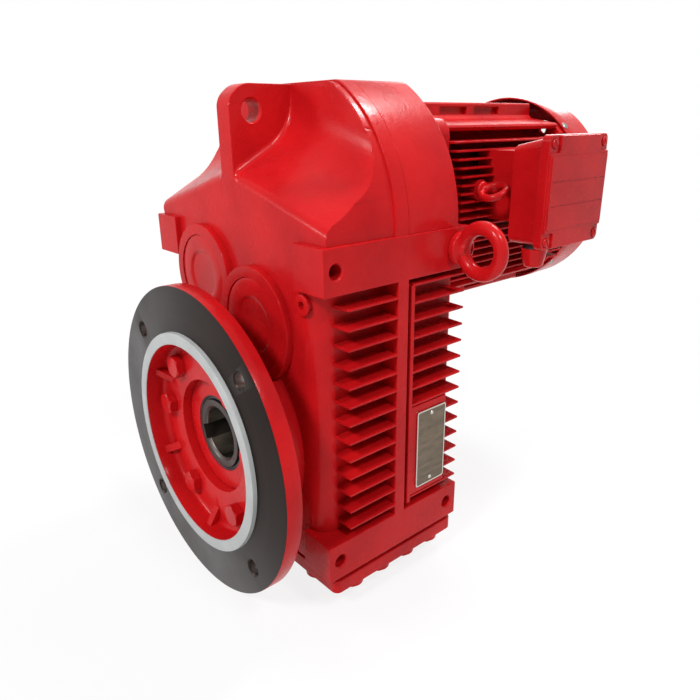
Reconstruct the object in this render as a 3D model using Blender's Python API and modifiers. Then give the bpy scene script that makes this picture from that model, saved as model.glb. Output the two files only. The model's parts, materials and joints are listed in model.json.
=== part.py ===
"""Parallel shaft gear motor with a hollow output shaft and a round output flange.

The origin is the centre of the output flange's mounting face. The output faces -Y, the motor lies
along +Y above the rear of the gearcase, and +Z is up. All sizes are metres.
"""
import math

import bpy
import bmesh
from mathutils import Matrix, Vector

# General fits and facets
GAP = 0.0003
ROUND_STEPS = 32
LARGE_STEPS = 36
SMALL_STEPS = 10
BEARING_STEPS = 20
PLUG_STEPS = 16

# Output flange, size 350 with a 250 pilot
FLANGE_RADIUS = 0.175
FLANGE_THICKNESS = 0.018
PILOT_RADIUS = 0.125
PILOT_INNER_RADIUS = 0.112
PILOT_HEIGHT = 0.005
HOLE_CIRCLE_RADIUS = 0.150
FLANGE_HOLE_RADIUS = 0.0088
FLANGE_HOLE_COUNT = 4
RECESS_FLOOR_Y = 0.020
RECESS_FILLET = 0.007
FLANGE_SEAT_Y = 0.036
FLANGE_HUB_RADIUS = 0.117
OPENING_RADIUS = 0.066
FLANGE_RIB_LENGTH = 0.020
FLANGE_RIB_WIDTH = 0.009
FLANGE_RIB_Y = 0.006
FLANGE_RIB_ANGLES = (28, 152, 208, 270, 332)

# Screws that hold the flange
FLANGE_SCREW_ANGLES = (8, 49, 131, 172, 238, 302)
FLANGE_SCREW_CIRCLE = 0.091
FLANGE_SCREW_RADIUS = 0.0078
FLANGE_SCREW_HEAD = 0.010
FLANGE_SCREW_HEX = 0.024
FLANGE_SCREW_DEPTH = 0.020

# Gearcase block and pads
CASE_HALF_WIDTH = 0.162
CASE_FRONT_Y = 0.066
CASE_REAR_Y = 0.257
CASE_TOP_Z = 0.229
CASE_BOTTOM_Z = -0.125
CASE_CORNER_RADIUS = 0.040
PAD_INNER_X = 0.1165
PAD_FRONT_Y = 0.0593
TOP_PAD_Z = 0.1845
BOTTOM_PAD_Z = -0.082
PAD_CHAMFER = 0.008
PAD_HOLE_RADIUS = 0.0072
PAD_HOLE_CHAMFER = 0.0014
PAD_HOLE_DEPTH = 0.024
PAD_HOLE_Y = (0.074, 0.241)
PAD_HOLE_Z = (0.207, -0.1035)

# Cooling fins on both flanks
FIN_DEPTH = 0.020
FIN_THICKNESS = 0.0042
FIN_DRAFT = 0.0012
FRONT_FIN_Y = (0.0835, 0.150)
FRONT_FIN_TOP_Z = 0.1682
FRONT_FIN_PITCH = 0.01985
FRONT_FIN_COUNT = 13
REAR_FIN_Y = (0.176, 0.260)
REAR_FIN_TOP_Z = 0.1650
REAR_FIN_PITCH = 0.01955
REAR_FIN_COUNT = 13
FIN_REAR_END_Y = 0.254
POST_GAP_Y = (0.166, 0.171)

# Walls and cavity of the gearcase
CAVITY_HALF_WIDTH = 0.132
CAVITY_FRONT_Y = 0.092
CAVITY_REAR_Y = 0.222
CAVITY_TOP_Z = 0.215
CHAMBER_HALF_WIDTH = 0.118
CHAMBER_SHOULDER_Z = 0.243
CHAMBER_TOP_HALF_WIDTH = 0.060
CHAMBER_TOP_Z = 0.262

# Deck, bell and lifting lug
MOTOR_AXIS_Z = 0.2313
BELL_RADIUS = 0.1605
BELL_FLAT_Z = 0.3715
BELL_FACE_Y = 0.141
BELL_RING_Y = 0.1495
BELL_REAR_Y = 0.167
BELL_STEP = 0.0022
CAST_OVERLAP = 0.003
DECK_RIDGE_Z = 0.2858
DECK_SIDE_SLOPE = 0.277
DECK_BACK_SLOPE = 0.55
DECK_FILLET = 0.056
DECK_FILLET_STEPS = 6
LUG_HALF_THICKNESS = 0.012
LUG_TOP_Z = 0.3695
LUG_CHAMFER_Y = 0.0165
LUG_CHAMFER_Z = 0.0140
LUG_BASE_FILLET = 0.024
LUG_BASE_STEPS = 4
LUG_HOLE_RADIUS = 0.0113
LUG_HOLE_Y = 0.0915
LUG_HOLE_Z = 0.344

# Hollow output shaft
SHAFT_FRONT_Y = 0.030
SHAFT_REAR_Y = 0.272
SHAFT_BORE_RADIUS = 0.030
SHAFT_BORE_CHAMFER = 0.003
SHAFT_RADIUS = 0.040
SHAFT_COLLAR_RADIUS = 0.045
KEYWAY_WIDTH = 0.018
KEYWAY_DEPTH = 0.0044
KEYWAY_ANGLE = 196
OUTPUT_SEAL_RADIUS = 0.0447
OUTPUT_SEAL_Y = (0.0315, 0.044)
OUTPUT_BEARING_RADIUS = 0.0625
OUTPUT_BEARING_WIDTH = 0.022
FRONT_BEARING_Y = 0.068
REAR_BEARING_Y = 0.226
NOSE_Y = 0.031
CASE_BOSS_RADIUS = 0.114
REAR_BOSS_RADIUS = 0.080
REAR_BOSS_Y = 0.266

# Gear train: module, teeth and face places of the three stages
TOOTH_THINNING = 0.06
PRESSURE_ANGLE = 20
OUTPUT_MODULE = 0.005
OUTPUT_PINION_TEETH = 14
OUTPUT_GEAR_TEETH = 42
OUTPUT_STAGE_Y = (0.170, 0.218)
MIDDLE_MODULE = 0.003
MIDDLE_PINION_TEETH = 17
MIDDLE_GEAR_TEETH = 55
MIDDLE_STAGE_Y = (0.127, 0.163)
INPUT_MODULE = 0.003
INPUT_PINION_TEETH = 15
INPUT_GEAR_TEETH = 42
INPUT_STAGE_Y = (0.096, 0.122)
LOWER_SHAFT_X = 0.042

# Intermediate shafts, bearings and caps
UPPER_BEARING_RADIUS = 0.045
UPPER_SEAT_RADIUS = 0.020
UPPER_BEARING_WIDTH = 0.023
UPPER_REAR_BEARING_RADIUS = 0.036
UPPER_REAR_SEAT_RADIUS = 0.015
UPPER_REAR_BEARING_WIDTH = 0.019
LOWER_BEARING_RADIUS = 0.050
LOWER_SEAT_RADIUS = 0.0225
LOWER_BEARING_WIDTH = 0.025
GEAR_SEAT_RADIUS = 0.0235
CAP_BOSS_Y = 0.0582
LOWER_CAP_BOSS_Y = 0.0576
CAP_THICKNESS = 0.006
UPPER_CAP_BOSS_RADIUS = 0.057
LOWER_CAP_BOSS_RADIUS = 0.062
BOSS_CLEARANCE = 0.002

# Oil, drain and breather plugs
OIL_PLUG_X = 0.1224
OIL_PLUG_Z = 0.1704
PLUG_RADIUS = 0.0104
PLUG_STEM_RADIUS = 0.0080
PLUG_STEM_LENGTH = 0.012
PLUG_HEAD = 0.0030
REAR_PLUG_X = -0.126
DRAIN_PLUG_Z = -0.102
BREATHER_PLUG_Z = 0.200

# Bottom cover
COVER_JOINT = 0.006
COVER_THICKNESS = 0.016
COVER_INSET = 0.004
COVER_GROOVE = 0.005
COVER_BOSS_RADIUS = 0.013
COVER_BOSS_DROP = 0.005
COVER_BOSSES_ALONG = 4
COVER_BOSSES_ACROSS = 4
GASKET_THICKNESS = 0.0012

# Nameplate
NAMEPLATE_Y = (0.184, 0.230)
NAMEPLATE_Z = (-0.060, 0.034)
NAMEPLATE_THICKNESS = 0.0016

# Adapter between bell and motor
ADAPTER_REAR_Y = 0.241
ADAPTER_NOSE_RADIUS = 0.042
ADAPTER_BORE_RADIUS = 0.024
INPUT_SEAL_RADIUS = 0.031
INPUT_SEAL_WIDTH = 0.010

# Motor
ENDSHIELD_HALF = 0.104
ENDSHIELD_CORNER = 0.018
ENDSHIELD_CLEAR_Y = 0.2576
FRAME_FRONT_Y = 0.288
FRAME_REAR_Y = 0.520
FRAME_RADIUS = 0.104
FRAME_BORE_RADIUS = 0.093
FRAME_HALF_WIDTH = 0.124
FRAME_FIN_PITCH = 0.0092
FRAME_FIN_THICKNESS = 0.0030
FRAME_FIN_REACH = 0.083
FRAME_PAD_HALF = 0.046
FRAME_PAD_HEIGHT = 0.122
FRAME_PAD_POCKET = 0.006
FRAME_RIB_X = 0.092
FRAME_RIB_Z = 0.096
MOTOR_BEARING_RADIUS = 0.040
MOTOR_BEARING_WIDTH = 0.018
MOTOR_SEAT_RADIUS = 0.020
ROTOR_SHAFT_RADIUS = 0.017
PINION_BORE_RADIUS = 0.012
ROTOR_CORE_RADIUS = 0.0595
ROTOR_CORE_Y = (0.335, 0.475)
ROTOR_CORE_SEAT = 0.025
STATOR_INNER_RADIUS = 0.0604
WINDING_LENGTH = 0.026
FAN_SEAT_RADIUS = 0.014
FAN_RADIUS = 0.112
FAN_Y = (0.552, 0.578)
FAN_BLADES = 7
FAN_BLADE_THICKNESS = 0.0035
FAN_COVER_RADIUS = 0.131
FAN_COVER_WALL = 0.0022
FAN_COVER_Y = (0.530, 0.600)
FAN_COVER_CORNER = 0.014
FAN_COVER_SLOTS = 14
FAN_COVER_SLOT_WIDTH = 0.010
FAN_COVER_SLOT_RADII = (0.036, 0.104)
REAR_SHIELD_RADIUS = 0.108
REAR_SHIELD_Y = 0.540

# Terminal box
BOX_SEAT_X = 0.166
BOX_LID_X = 0.200
BOX_Y = (0.321, 0.437)
BOX_Z = (0.203, 0.3145)
BOX_WALL = 0.004
BOX_CORNER = 0.010
LID_THICKNESS = 0.013
LID_MARGIN = 0.0035
LID_STEP = 0.0035
LID_EAR = 0.018
BOX_GASKET = 0.0015
PEDESTAL_Y = (0.346, 0.428)
PEDESTAL_Z = (0.222, 0.300)
CABLE_PLUG_Y = 0.344
CABLE_PLUG_RADIUS = 0.0150
CABLE_PLUG_OFFSET = 0.0185
CABLE_PLUG_LENGTH = 0.022
TERMINAL_BLOCK_SIZE = (0.014, 0.062, 0.040)

# Eyebolts: ring outer and inner radius, collar, height over the seat, thread
CASE_EYE_RING = (0.0315, 0.0175)
CASE_EYE_COLLAR_RADIUS = 0.0175
CASE_EYE_HEIGHT = 0.062
CASE_EYE_THREAD_RADIUS = 0.0075
CASE_EYE_THREAD_LENGTH = 0.022
MOTOR_EYE_RING = (0.018, 0.010)
MOTOR_EYE_COLLAR_RADIUS = 0.010
MOTOR_EYE_HEIGHT = 0.036
MOTOR_EYE_THREAD_RADIUS = 0.0038
MOTOR_EYE_THREAD_LENGTH = 0.013
MOTOR_EYE_Y = 0.3225
MOTOR_EYE_Z = 0.257
MOTOR_EYE_TILT = 27
EYE_PAD_RISE = 0.0005


def shaft_places():
    """Return the (x, z) of the lower shaft, the upper shaft and the motor, from the mesh distances."""
    output_distance = OUTPUT_MODULE * (OUTPUT_PINION_TEETH + OUTPUT_GEAR_TEETH) / 2
    middle_distance = MIDDLE_MODULE * (MIDDLE_PINION_TEETH + MIDDLE_GEAR_TEETH) / 2
    input_distance = INPUT_MODULE * (INPUT_PINION_TEETH + INPUT_GEAR_TEETH) / 2
    lower = Vector((LOWER_SHAFT_X, math.sqrt(output_distance ** 2 - LOWER_SHAFT_X ** 2)))
    motor = Vector((0.0, MOTOR_AXIS_Z))
    span = (motor - lower).length
    along = (middle_distance ** 2 - input_distance ** 2 + span ** 2) / (2 * span)
    aside = math.sqrt(middle_distance ** 2 - along ** 2)
    unit = (motor - lower) / span
    upper = lower + unit * along + Vector((-unit.y, unit.x)) * aside
    return lower, upper, motor


LOWER_SHAFT, UPPER_SHAFT, MOTOR_AXIS = shaft_places()
OUTPUT_AXIS = Vector((0.0, 0.0))
COVER_TOP_Z = CASE_BOTTOM_Z - COVER_JOINT
COVER_LOW_Z = COVER_TOP_Z - COVER_THICKNESS

for old in list(bpy.data.objects):
    bpy.data.objects.remove(old, do_unlink=True)


def new_collection(name):
    """Add a collection to the scene."""
    collection = bpy.data.collections.new(name)
    bpy.context.scene.collection.children.link(collection)
    return collection


PARTS = new_collection("gear_motor")
CUTTERS = new_collection("cutters")


def material(name, colour, roughness, metallic=0.0):
    """Make a Principled material."""
    made = bpy.data.materials.new(name)
    made.use_nodes = True
    shader = made.node_tree.nodes["Principled BSDF"]
    shader.inputs["Base Color"].default_value = (*colour, 1.0)
    shader.inputs["Roughness"].default_value = roughness
    shader.inputs["Metallic"].default_value = metallic
    made.diffuse_color = (*colour, 1.0)
    return made


RED = material("red_paint", (0.58, 0.012, 0.016), 0.28)
STEEL = material("machined_steel", (0.35, 0.33, 0.31), 0.32, 1.0)
DARK_STEEL = material("dark_steel", (0.09, 0.08, 0.075), 0.40, 1.0)
RUBBER = material("black_rubber", (0.012, 0.013, 0.016), 0.55)
BRONZE = material("plate_metal", (0.33, 0.24, 0.16), 0.35, 1.0)
COPPER = material("winding", (0.50, 0.20, 0.09), 0.45, 0.8)
PLASTIC = material("moulded_plastic", (0.05, 0.05, 0.05), 0.50)
GASKET = material("gasket_fibre", (0.03, 0.03, 0.03), 0.80)


def empty(name, x, z):
    """Add an empty on a shaft's axis."""
    made = bpy.data.objects.new(name, None)
    made.location = (x, 0.0, z)
    PARTS.objects.link(made)
    return made


CASE_EMPTY = empty("case_frame", 0.0, 0.0)
OUTPUT_EMPTY = empty("output_axis", *OUTPUT_AXIS)
LOWER_EMPTY = empty("lower_axis", *LOWER_SHAFT)
UPPER_EMPTY = empty("upper_axis", *UPPER_SHAFT)
ROTOR_EMPTY = empty("rotor_axis", *MOTOR_AXIS)


def add(name, mesh, finish=None, parent=None, place=None):
    """Make an object of a mesh: a part when it has a finish, else a cutter."""
    made = bpy.data.objects.new(name, mesh)
    if place is not None:
        made.matrix_world = place
    if finish is None:
        made.hide_render = True
        made.display_type = "WIRE"
        CUTTERS.objects.link(made)
    else:
        made.data.materials.append(finish)
        made.parent = parent
        PARTS.objects.link(made)
    return made


def boolean(target, tool, operation="DIFFERENCE"):
    """Cut or join a tool with a target."""
    step = target.modifiers.new(tool.name, "BOOLEAN")
    step.operation = operation
    step.solver = "EXACT"
    step.object = tool
    tool.parent = target.parent
    return target


def weld(target):
    """Merge the vertices that a cut has left on the same spot."""
    step = target.modifiers.new("weld", "WELD")
    step.merge_threshold = 0.000005
    return target


def along_y(x=0.0, z=0.0, y=0.0):
    """Place that turns local Z to world +Y."""
    return Matrix.Translation((x, y, z)) @ Matrix.Rotation(math.radians(-90), 4, "X")


def along_x(x=0.0, y=0.0, z=0.0):
    """Place that turns local Z to world +X."""
    return Matrix.Translation((x, y, z)) @ Matrix.Rotation(math.radians(90), 4, "Y")


def signed_area(points):
    """Area of a polygon, positive when it runs anticlockwise."""
    total = 0.0
    for (ax, ay), (bx, by) in zip(points, points[1:] + points[:1]):
        total += ax * by - bx * ay
    return total / 2


def turned(name, profile, finish=None, parent=None, place=None, steps=ROUND_STEPS):
    """Turn a profile of (radius, height) points round local Z with a Screw modifier."""
    points = list(profile)
    if signed_area(points) > 0:
        points.reverse()
    on_axis = [radius < 1e-6 for radius, _ in points]
    if any(on_axis):
        while not (on_axis[0] and on_axis[-1]):
            points = points[1:] + points[:1]
            on_axis = on_axis[1:] + on_axis[:1]
    count = len(points)
    edges = [(i, i + 1) for i in range(count - 1)]
    if not any(on_axis):
        edges.append((count - 1, 0))
    mesh = bpy.data.meshes.new(name)
    mesh.from_pydata([(radius, 0.0, height) for radius, height in points], edges, [])
    made = add(name, mesh, finish, parent, place)
    screw = made.modifiers.new("turn", "SCREW")
    screw.axis = "Z"
    screw.steps = steps
    screw.render_steps = steps
    screw.use_merge_vertices = True
    screw.merge_threshold = 0.00001
    return made


def cylinder(name, radius, low, high, finish=None, parent=None, place=None, steps=ROUND_STEPS):
    """A plain turned cylinder between two heights."""
    profile = [(0.0, low), (radius, low), (radius, high), (0.0, high)]
    return turned(name, profile, finish, parent, place, steps)


def ring(name, outer, inner, low, high, finish=None, parent=None, place=None, steps=ROUND_STEPS):
    """A plain turned ring between two heights."""
    profile = [(inner, low), (outer, low), (outer, high), (inner, high)]
    return turned(name, profile, finish, parent, place, steps)


def arc(centre, radius, start, stop, steps):
    """Points on an arc, with angles in degrees, both ends included."""
    points = []
    for i in range(steps + 1):
        angle = math.radians(start + (stop - start) * i / steps)
        points.append((centre[0] + radius * math.cos(angle), centre[1] + radius * math.sin(angle)))
    return points


def rounded(corners, steps=4):
    """Round each (x, y, radius) corner of a closed outline with an arc."""
    points = []
    count = len(corners)
    for i, (x, y, radius) in enumerate(corners):
        here = Vector((x, y))
        before = Vector(corners[i - 1][:2]) - here
        after = Vector(corners[(i + 1) % count][:2]) - here
        if radius <= 0.0:
            points.append((x, y))
            continue
        half = before.angle(after) / 2
        reach = radius / math.tan(half)
        start = here + before.normalized() * reach
        stop = here + after.normalized() * reach
        middle = here + (before.normalized() + after.normalized()).normalized() * (radius / math.sin(half))
        first = start - middle
        turn = first.angle_signed(stop - middle)
        for k in range(steps + 1):
            swung = first.copy()
            swung.rotate(Matrix.Rotation(-turn * k / steps, 2))
            points.append(tuple(middle + swung))
    return points


def flat_mesh(loops, thickness):
    """Mesh of a flat outline, with holes, whose thickness is centred on its plane."""
    curve = bpy.data.curves.new("outline", "CURVE")
    curve.dimensions = "2D"
    curve.fill_mode = "BOTH"
    curve.extrude = thickness / 2
    for loop in loops:
        spline = curve.splines.new("POLY")
        spline.points.add(len(loop) - 1)
        for point, (x, y) in zip(spline.points, loop):
            point.co = (x, y, 0.0, 1.0)
        spline.use_cyclic_u = True
    holder = bpy.data.objects.new("outline", curve)
    CUTTERS.objects.link(holder)
    graph = bpy.context.evaluated_depsgraph_get()
    mesh = bpy.data.meshes.new_from_object(holder.evaluated_get(graph))
    bpy.data.objects.remove(holder, do_unlink=True)
    bpy.data.curves.remove(curve)
    body = bmesh.new()
    body.from_mesh(mesh)
    bmesh.ops.remove_doubles(body, verts=body.verts, dist=0.000002)
    bmesh.ops.dissolve_limit(body, angle_limit=0.01, verts=body.verts, edges=body.edges)
    bmesh.ops.recalc_face_normals(body, faces=body.faces)
    body.to_mesh(mesh)
    body.free()
    return mesh


def plate(name, loops, axis, low, high, finish=None, parent=None, shift=(0.0, 0.0)):
    """Extrude outlines along a world axis from low to high.

    The outline's coordinates are (x, z) for axis Y, (y, z) for axis X and (x, y) for axis Z.
    """
    mesh = flat_mesh(loops, high - low)
    middle = (low + high) / 2
    if axis == "Y":
        turn = Matrix.Translation((shift[0], middle, shift[1])) @ Matrix.Rotation(math.radians(90), 4, "X")
    elif axis == "X":
        turn = Matrix(((0, 0, 1, middle), (1, 0, 0, shift[0]), (0, 1, 0, shift[1]), (0, 0, 0, 1)))
    else:
        turn = Matrix.Translation((shift[0], shift[1], middle))
    mesh.transform(turn)
    return add(name, mesh, finish, parent)


def box_mesh(name, boxes):
    """Mesh of separate boxes, each given by its low and high corner."""
    body = bmesh.new()
    for low, high in boxes:
        made = bmesh.ops.create_cube(body, size=1.0)
        size = [b - a for a, b in zip(low, high)]
        middle = [(a + b) / 2 for a, b in zip(low, high)]
        bmesh.ops.scale(body, vec=size, verts=made["verts"])
        bmesh.ops.translate(body, vec=middle, verts=made["verts"])
    mesh = bpy.data.meshes.new(name)
    body.to_mesh(mesh)
    body.free()
    return mesh


def box(name, low, high, finish=None, parent=None):
    """One box between two corners."""
    return add(name, box_mesh(name, [(low, high)]), finish, parent)


def merge_meshes(name, objects):
    """Join cutters that stay clear of each other into one cutter."""
    graph = bpy.context.evaluated_depsgraph_get()
    body = bmesh.new()
    for piece in objects:
        mesh = bpy.data.meshes.new_from_object(piece.evaluated_get(graph))
        mesh.transform(piece.matrix_world)
        body.from_mesh(mesh)
        bpy.data.meshes.remove(mesh)
        bpy.data.objects.remove(piece, do_unlink=True)
    mesh = bpy.data.meshes.new(name)
    body.to_mesh(mesh)
    body.free()
    return add(name, mesh)


def bell_outline(inset=0.0, low_z=None):
    """Round bell section with a flat top and straight sides down to low_z."""
    radius = BELL_RADIUS - inset
    top = BELL_FLAT_Z - inset
    bottom = CASE_TOP_Z - 0.010 if low_z is None else low_z
    stop = math.degrees(math.asin((top - MOTOR_AXIS_Z) / radius))
    right = arc((0.0, MOTOR_AXIS_Z), radius, 0.0, stop, 10)
    points = [(right[0][0], bottom)] if bottom < right[0][1] else []
    points += right
    left = [(-x, z) for x, z in reversed(points)]
    return points + left


def deck_height(y):
    """Rise of the deck over its front edge at a given y, with a fillet up to the bell face."""
    slope = math.atan(DECK_BACK_SLOPE)
    reach = DECK_FILLET * math.tan((math.pi / 2 - slope) / 2)
    start = BELL_FACE_Y - reach * math.cos(slope)
    if y <= start:
        return (y - CASE_FRONT_Y) * DECK_BACK_SLOPE
    centre_y = BELL_FACE_Y - DECK_FILLET
    centre_z = (BELL_FACE_Y - CASE_FRONT_Y) * DECK_BACK_SLOPE + reach
    return centre_z - math.sqrt(max(0.0, DECK_FILLET ** 2 - (y - centre_y) ** 2))


def deck_section(rise):
    """Half outline of the deck from its side to the lug, lifted by rise."""
    side = BELL_RADIUS
    slope = math.atan(DECK_SIDE_SLOPE)
    corner_x = LUG_HALF_THICKNESS
    corner_z = DECK_RIDGE_Z - DECK_SIDE_SLOPE * corner_x
    centre_x = corner_x + LUG_BASE_FILLET
    reach = LUG_BASE_FILLET * math.tan((math.pi / 2 - slope) / 2)
    centre_z = corner_z + reach
    points = [(side, DECK_RIDGE_Z - DECK_SIDE_SLOPE * side + rise)]
    start = 270 - math.degrees(slope)
    for x, z in arc((centre_x, centre_z), LUG_BASE_FILLET, start, 180, LUG_BASE_STEPS):
        points.append((x, z + rise))
    return points


def deck_mesh():
    """Loft of the deck sections from the front face to the bell."""
    slope = math.atan(DECK_BACK_SLOPE)
    reach = DECK_FILLET * math.tan((math.pi / 2 - slope) / 2)
    start = BELL_FACE_Y - reach * math.cos(slope)
    stops = [CASE_FRONT_Y, start]
    first = math.asin((start - BELL_FACE_Y + DECK_FILLET) / DECK_FILLET)
    for k in range(1, DECK_FILLET_STEPS + 1):
        swing = first + (math.pi / 2 - first) * k / DECK_FILLET_STEPS
        stops.append(BELL_FACE_Y - DECK_FILLET + DECK_FILLET * math.sin(swing))
    stops.append(BELL_RING_Y + CAST_OVERLAP)
    body = bmesh.new()
    loops = []
    for y in stops:
        half = deck_section(deck_height(min(y, BELL_FACE_Y)))
        outline = [(BELL_RADIUS, CASE_TOP_Z - 0.012)] + half
        outline += [(-x, z) for x, z in reversed(outline)]
        verts = [body.verts.new((x, y, z)) for x, z in outline]
        loops.append([body.edges.new((a, b)) for a, b in zip(verts, verts[1:] + verts[:1])])
    for near, far in zip(loops, loops[1:]):
        bmesh.ops.bridge_loops(body, edges=near + far)
    bmesh.ops.holes_fill(body, edges=loops[0] + loops[-1])
    bmesh.ops.recalc_face_normals(body, faces=body.faces)
    mesh = bpy.data.meshes.new("deck")
    body.to_mesh(mesh)
    body.free()
    return mesh


def case_block():
    """The gearcase's block: a plan outline with rounded front corners."""
    w = CASE_HALF_WIDTH
    corners = [(-w, CASE_FRONT_Y, CASE_CORNER_RADIUS), (w, CASE_FRONT_Y, CASE_CORNER_RADIUS),
               (w, CASE_REAR_Y, 0.004), (-w, CASE_REAR_Y, 0.004)]
    return plate("gearcase", [rounded(corners, 6)], "Z", CASE_BOTTOM_Z, CASE_TOP_Z, RED, CASE_EMPTY)


def case_additions():
    """Everything that is cast onto the block."""
    w = CASE_HALF_WIDTH
    mid_y = (PAD_FRONT_Y + CASE_REAR_Y) / 2
    pads = []
    for low, high in ((TOP_PAD_Z, CASE_TOP_Z), (CASE_BOTTOM_Z, BOTTOM_PAD_Z)):
        for side in (-1, 1):
            xs = sorted((side * PAD_INNER_X, side * w))
            pads.append(((xs[0], PAD_FRONT_Y, low), (xs[1], mid_y, high)))
    made = [add("pads", box_mesh("pads", pads))]
    deck = add("deck", deck_mesh())
    inset = BELL_STEP + 0.0003
    limit = plate("deck_limit", [bell_outline(inset)], "Y", CASE_FRONT_Y - 0.01, BELL_RING_Y + 0.01)
    boolean(deck, limit, "INTERSECT")
    made.append(deck)
    made.append(plate("bell_front", [bell_outline(BELL_STEP)], "Y", BELL_FACE_Y, BELL_RING_Y + CAST_OVERLAP / 2))
    made.append(plate("bell_ring", [bell_outline()], "Y", BELL_RING_Y, BELL_REAR_Y))
    front = CASE_FRONT_Y
    top = LUG_TOP_Z
    back = BELL_FACE_Y + CAST_OVERLAP
    lug = [(front, DECK_RIDGE_Z - 0.030, 0), (back, DECK_RIDGE_Z - 0.030, 0), (back, top, 0),
           (front + LUG_CHAMFER_Y, top, 0.012), (front, top - LUG_CHAMFER_Z, 0.012)]
    half = LUG_HALF_THICKNESS
    made.append(plate("lug", [rounded(lug, 3)], "X", -half, half))
    made.append(cylinder("upper_boss", UPPER_CAP_BOSS_RADIUS, CAP_BOSS_Y, CASE_FRONT_Y + 0.01,
                         place=along_y(*UPPER_SHAFT)))
    made.append(cylinder("lower_boss", LOWER_CAP_BOSS_RADIUS, LOWER_CAP_BOSS_Y, CASE_FRONT_Y + 0.01,
                         place=along_y(*LOWER_SHAFT)))
    nose = [(0.0, NOSE_Y), (OPENING_RADIUS - GAP, NOSE_Y), (OPENING_RADIUS - GAP, FLANGE_SEAT_Y),
            (CASE_BOSS_RADIUS, FLANGE_SEAT_Y), (CASE_BOSS_RADIUS, CASE_FRONT_Y + 0.008),
            (0.0, CASE_FRONT_Y + 0.008)]
    bite = cylinder("cap_bite", LOWER_CAP_BOSS_RADIUS + BOSS_CLEARANCE, NOSE_Y - 0.01, CAP_BOSS_Y + 0.003,
                    place=along_y(*LOWER_SHAFT))
    boss = turned("output_boss", nose, place=along_y(), steps=LARGE_STEPS)
    made.append(boolean(boss, bite))
    made.append(cylinder("rear_boss", REAR_BOSS_RADIUS, CASE_REAR_Y - 0.01, REAR_BOSS_Y, place=along_y()))
    return made


def fin_slots(y_span, top_fin, pitch, count, side):
    """Cutter for the slots between horizontal fins, each slot wider at its mouth."""
    body = bmesh.new()
    inner = CASE_HALF_WIDTH - FIN_DEPTH
    outer = CASE_HALF_WIDTH + 0.004
    half = FIN_THICKNESS / 2
    edges = [TOP_PAD_Z + half] + [top_fin - pitch * k for k in range(count)] + [BOTTOM_PAD_Z - half]
    for upper, lower in zip(edges, edges[1:]):
        made = bmesh.ops.create_cube(body, size=1.0)
        low = lower + half
        high = upper - half
        size = (outer - inner, y_span[1] - y_span[0], high - low)
        middle = ((outer + inner) / 2, sum(y_span) / 2, (high + low) / 2)
        bmesh.ops.scale(body, vec=size, verts=made["verts"])
        bmesh.ops.translate(body, vec=middle, verts=made["verts"])
        for vert in made["verts"]:
            if vert.co.x > inner + 0.001:
                vert.co.z += FIN_DRAFT if vert.co.z > (high + low) / 2 else -FIN_DRAFT
    if side < 0:
        bmesh.ops.scale(body, vec=(-1, 1, 1), verts=body.verts)
        bmesh.ops.reverse_faces(body, faces=body.faces)
    mesh = bpy.data.meshes.new("fin_slots")
    body.to_mesh(mesh)
    body.free()
    return add("fin_slots", mesh)


def case_fin_cuts():
    """Slots and gaps that leave the fins, the post and the rear rib on both flanks."""
    cuts = []
    inner = CASE_HALF_WIDTH - FIN_DEPTH
    outer = CASE_HALF_WIDTH + 0.004
    for side in (-1, 1):
        cuts.append(fin_slots(FRONT_FIN_Y, FRONT_FIN_TOP_Z, FRONT_FIN_PITCH, FRONT_FIN_COUNT, side))
        cuts.append(fin_slots(REAR_FIN_Y, REAR_FIN_TOP_Z, REAR_FIN_PITCH, REAR_FIN_COUNT, side))
        xs = sorted((side * inner, side * outer))
        cuts.append(box("post_gap", (xs[0], POST_GAP_Y[0], BOTTOM_PAD_Z), (xs[1], POST_GAP_Y[1], TOP_PAD_Z)))
        trim = (xs[0], FIN_REAR_END_Y, BOTTOM_PAD_Z), (xs[1], CASE_REAR_Y + 0.004, TOP_PAD_Z)
        cuts.append(box("fin_trim", *trim))
    return cuts


def case_cavity_cuts():
    """Cavity, chamber under the deck and the trough for the adapter's nose."""
    w = CAVITY_HALF_WIDTH
    cavity = box("cavity", (-w, CAVITY_FRONT_Y, CASE_BOTTOM_Z - 0.01), (w, CAVITY_REAR_Y, CAVITY_TOP_Z))
    s = CHAMBER_HALF_WIDTH
    t = CHAMBER_TOP_HALF_WIDTH
    outline = [(-s, CAVITY_TOP_Z - 0.01), (s, CAVITY_TOP_Z - 0.01), (s, CHAMBER_SHOULDER_Z),
               (t, CHAMBER_TOP_Z), (-t, CHAMBER_TOP_Z), (-s, CHAMBER_SHOULDER_Z)]
    chamber = plate("chamber", [outline], "Y", CAVITY_FRONT_Y + 0.001, BELL_REAR_Y + 0.002)
    trough = cylinder("trough", ADAPTER_NOSE_RADIUS + GAP, BELL_REAR_Y - 0.001, CASE_REAR_Y + 0.01,
                      place=along_y(*MOTOR_AXIS))
    return [cavity, chamber, trough]


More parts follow.
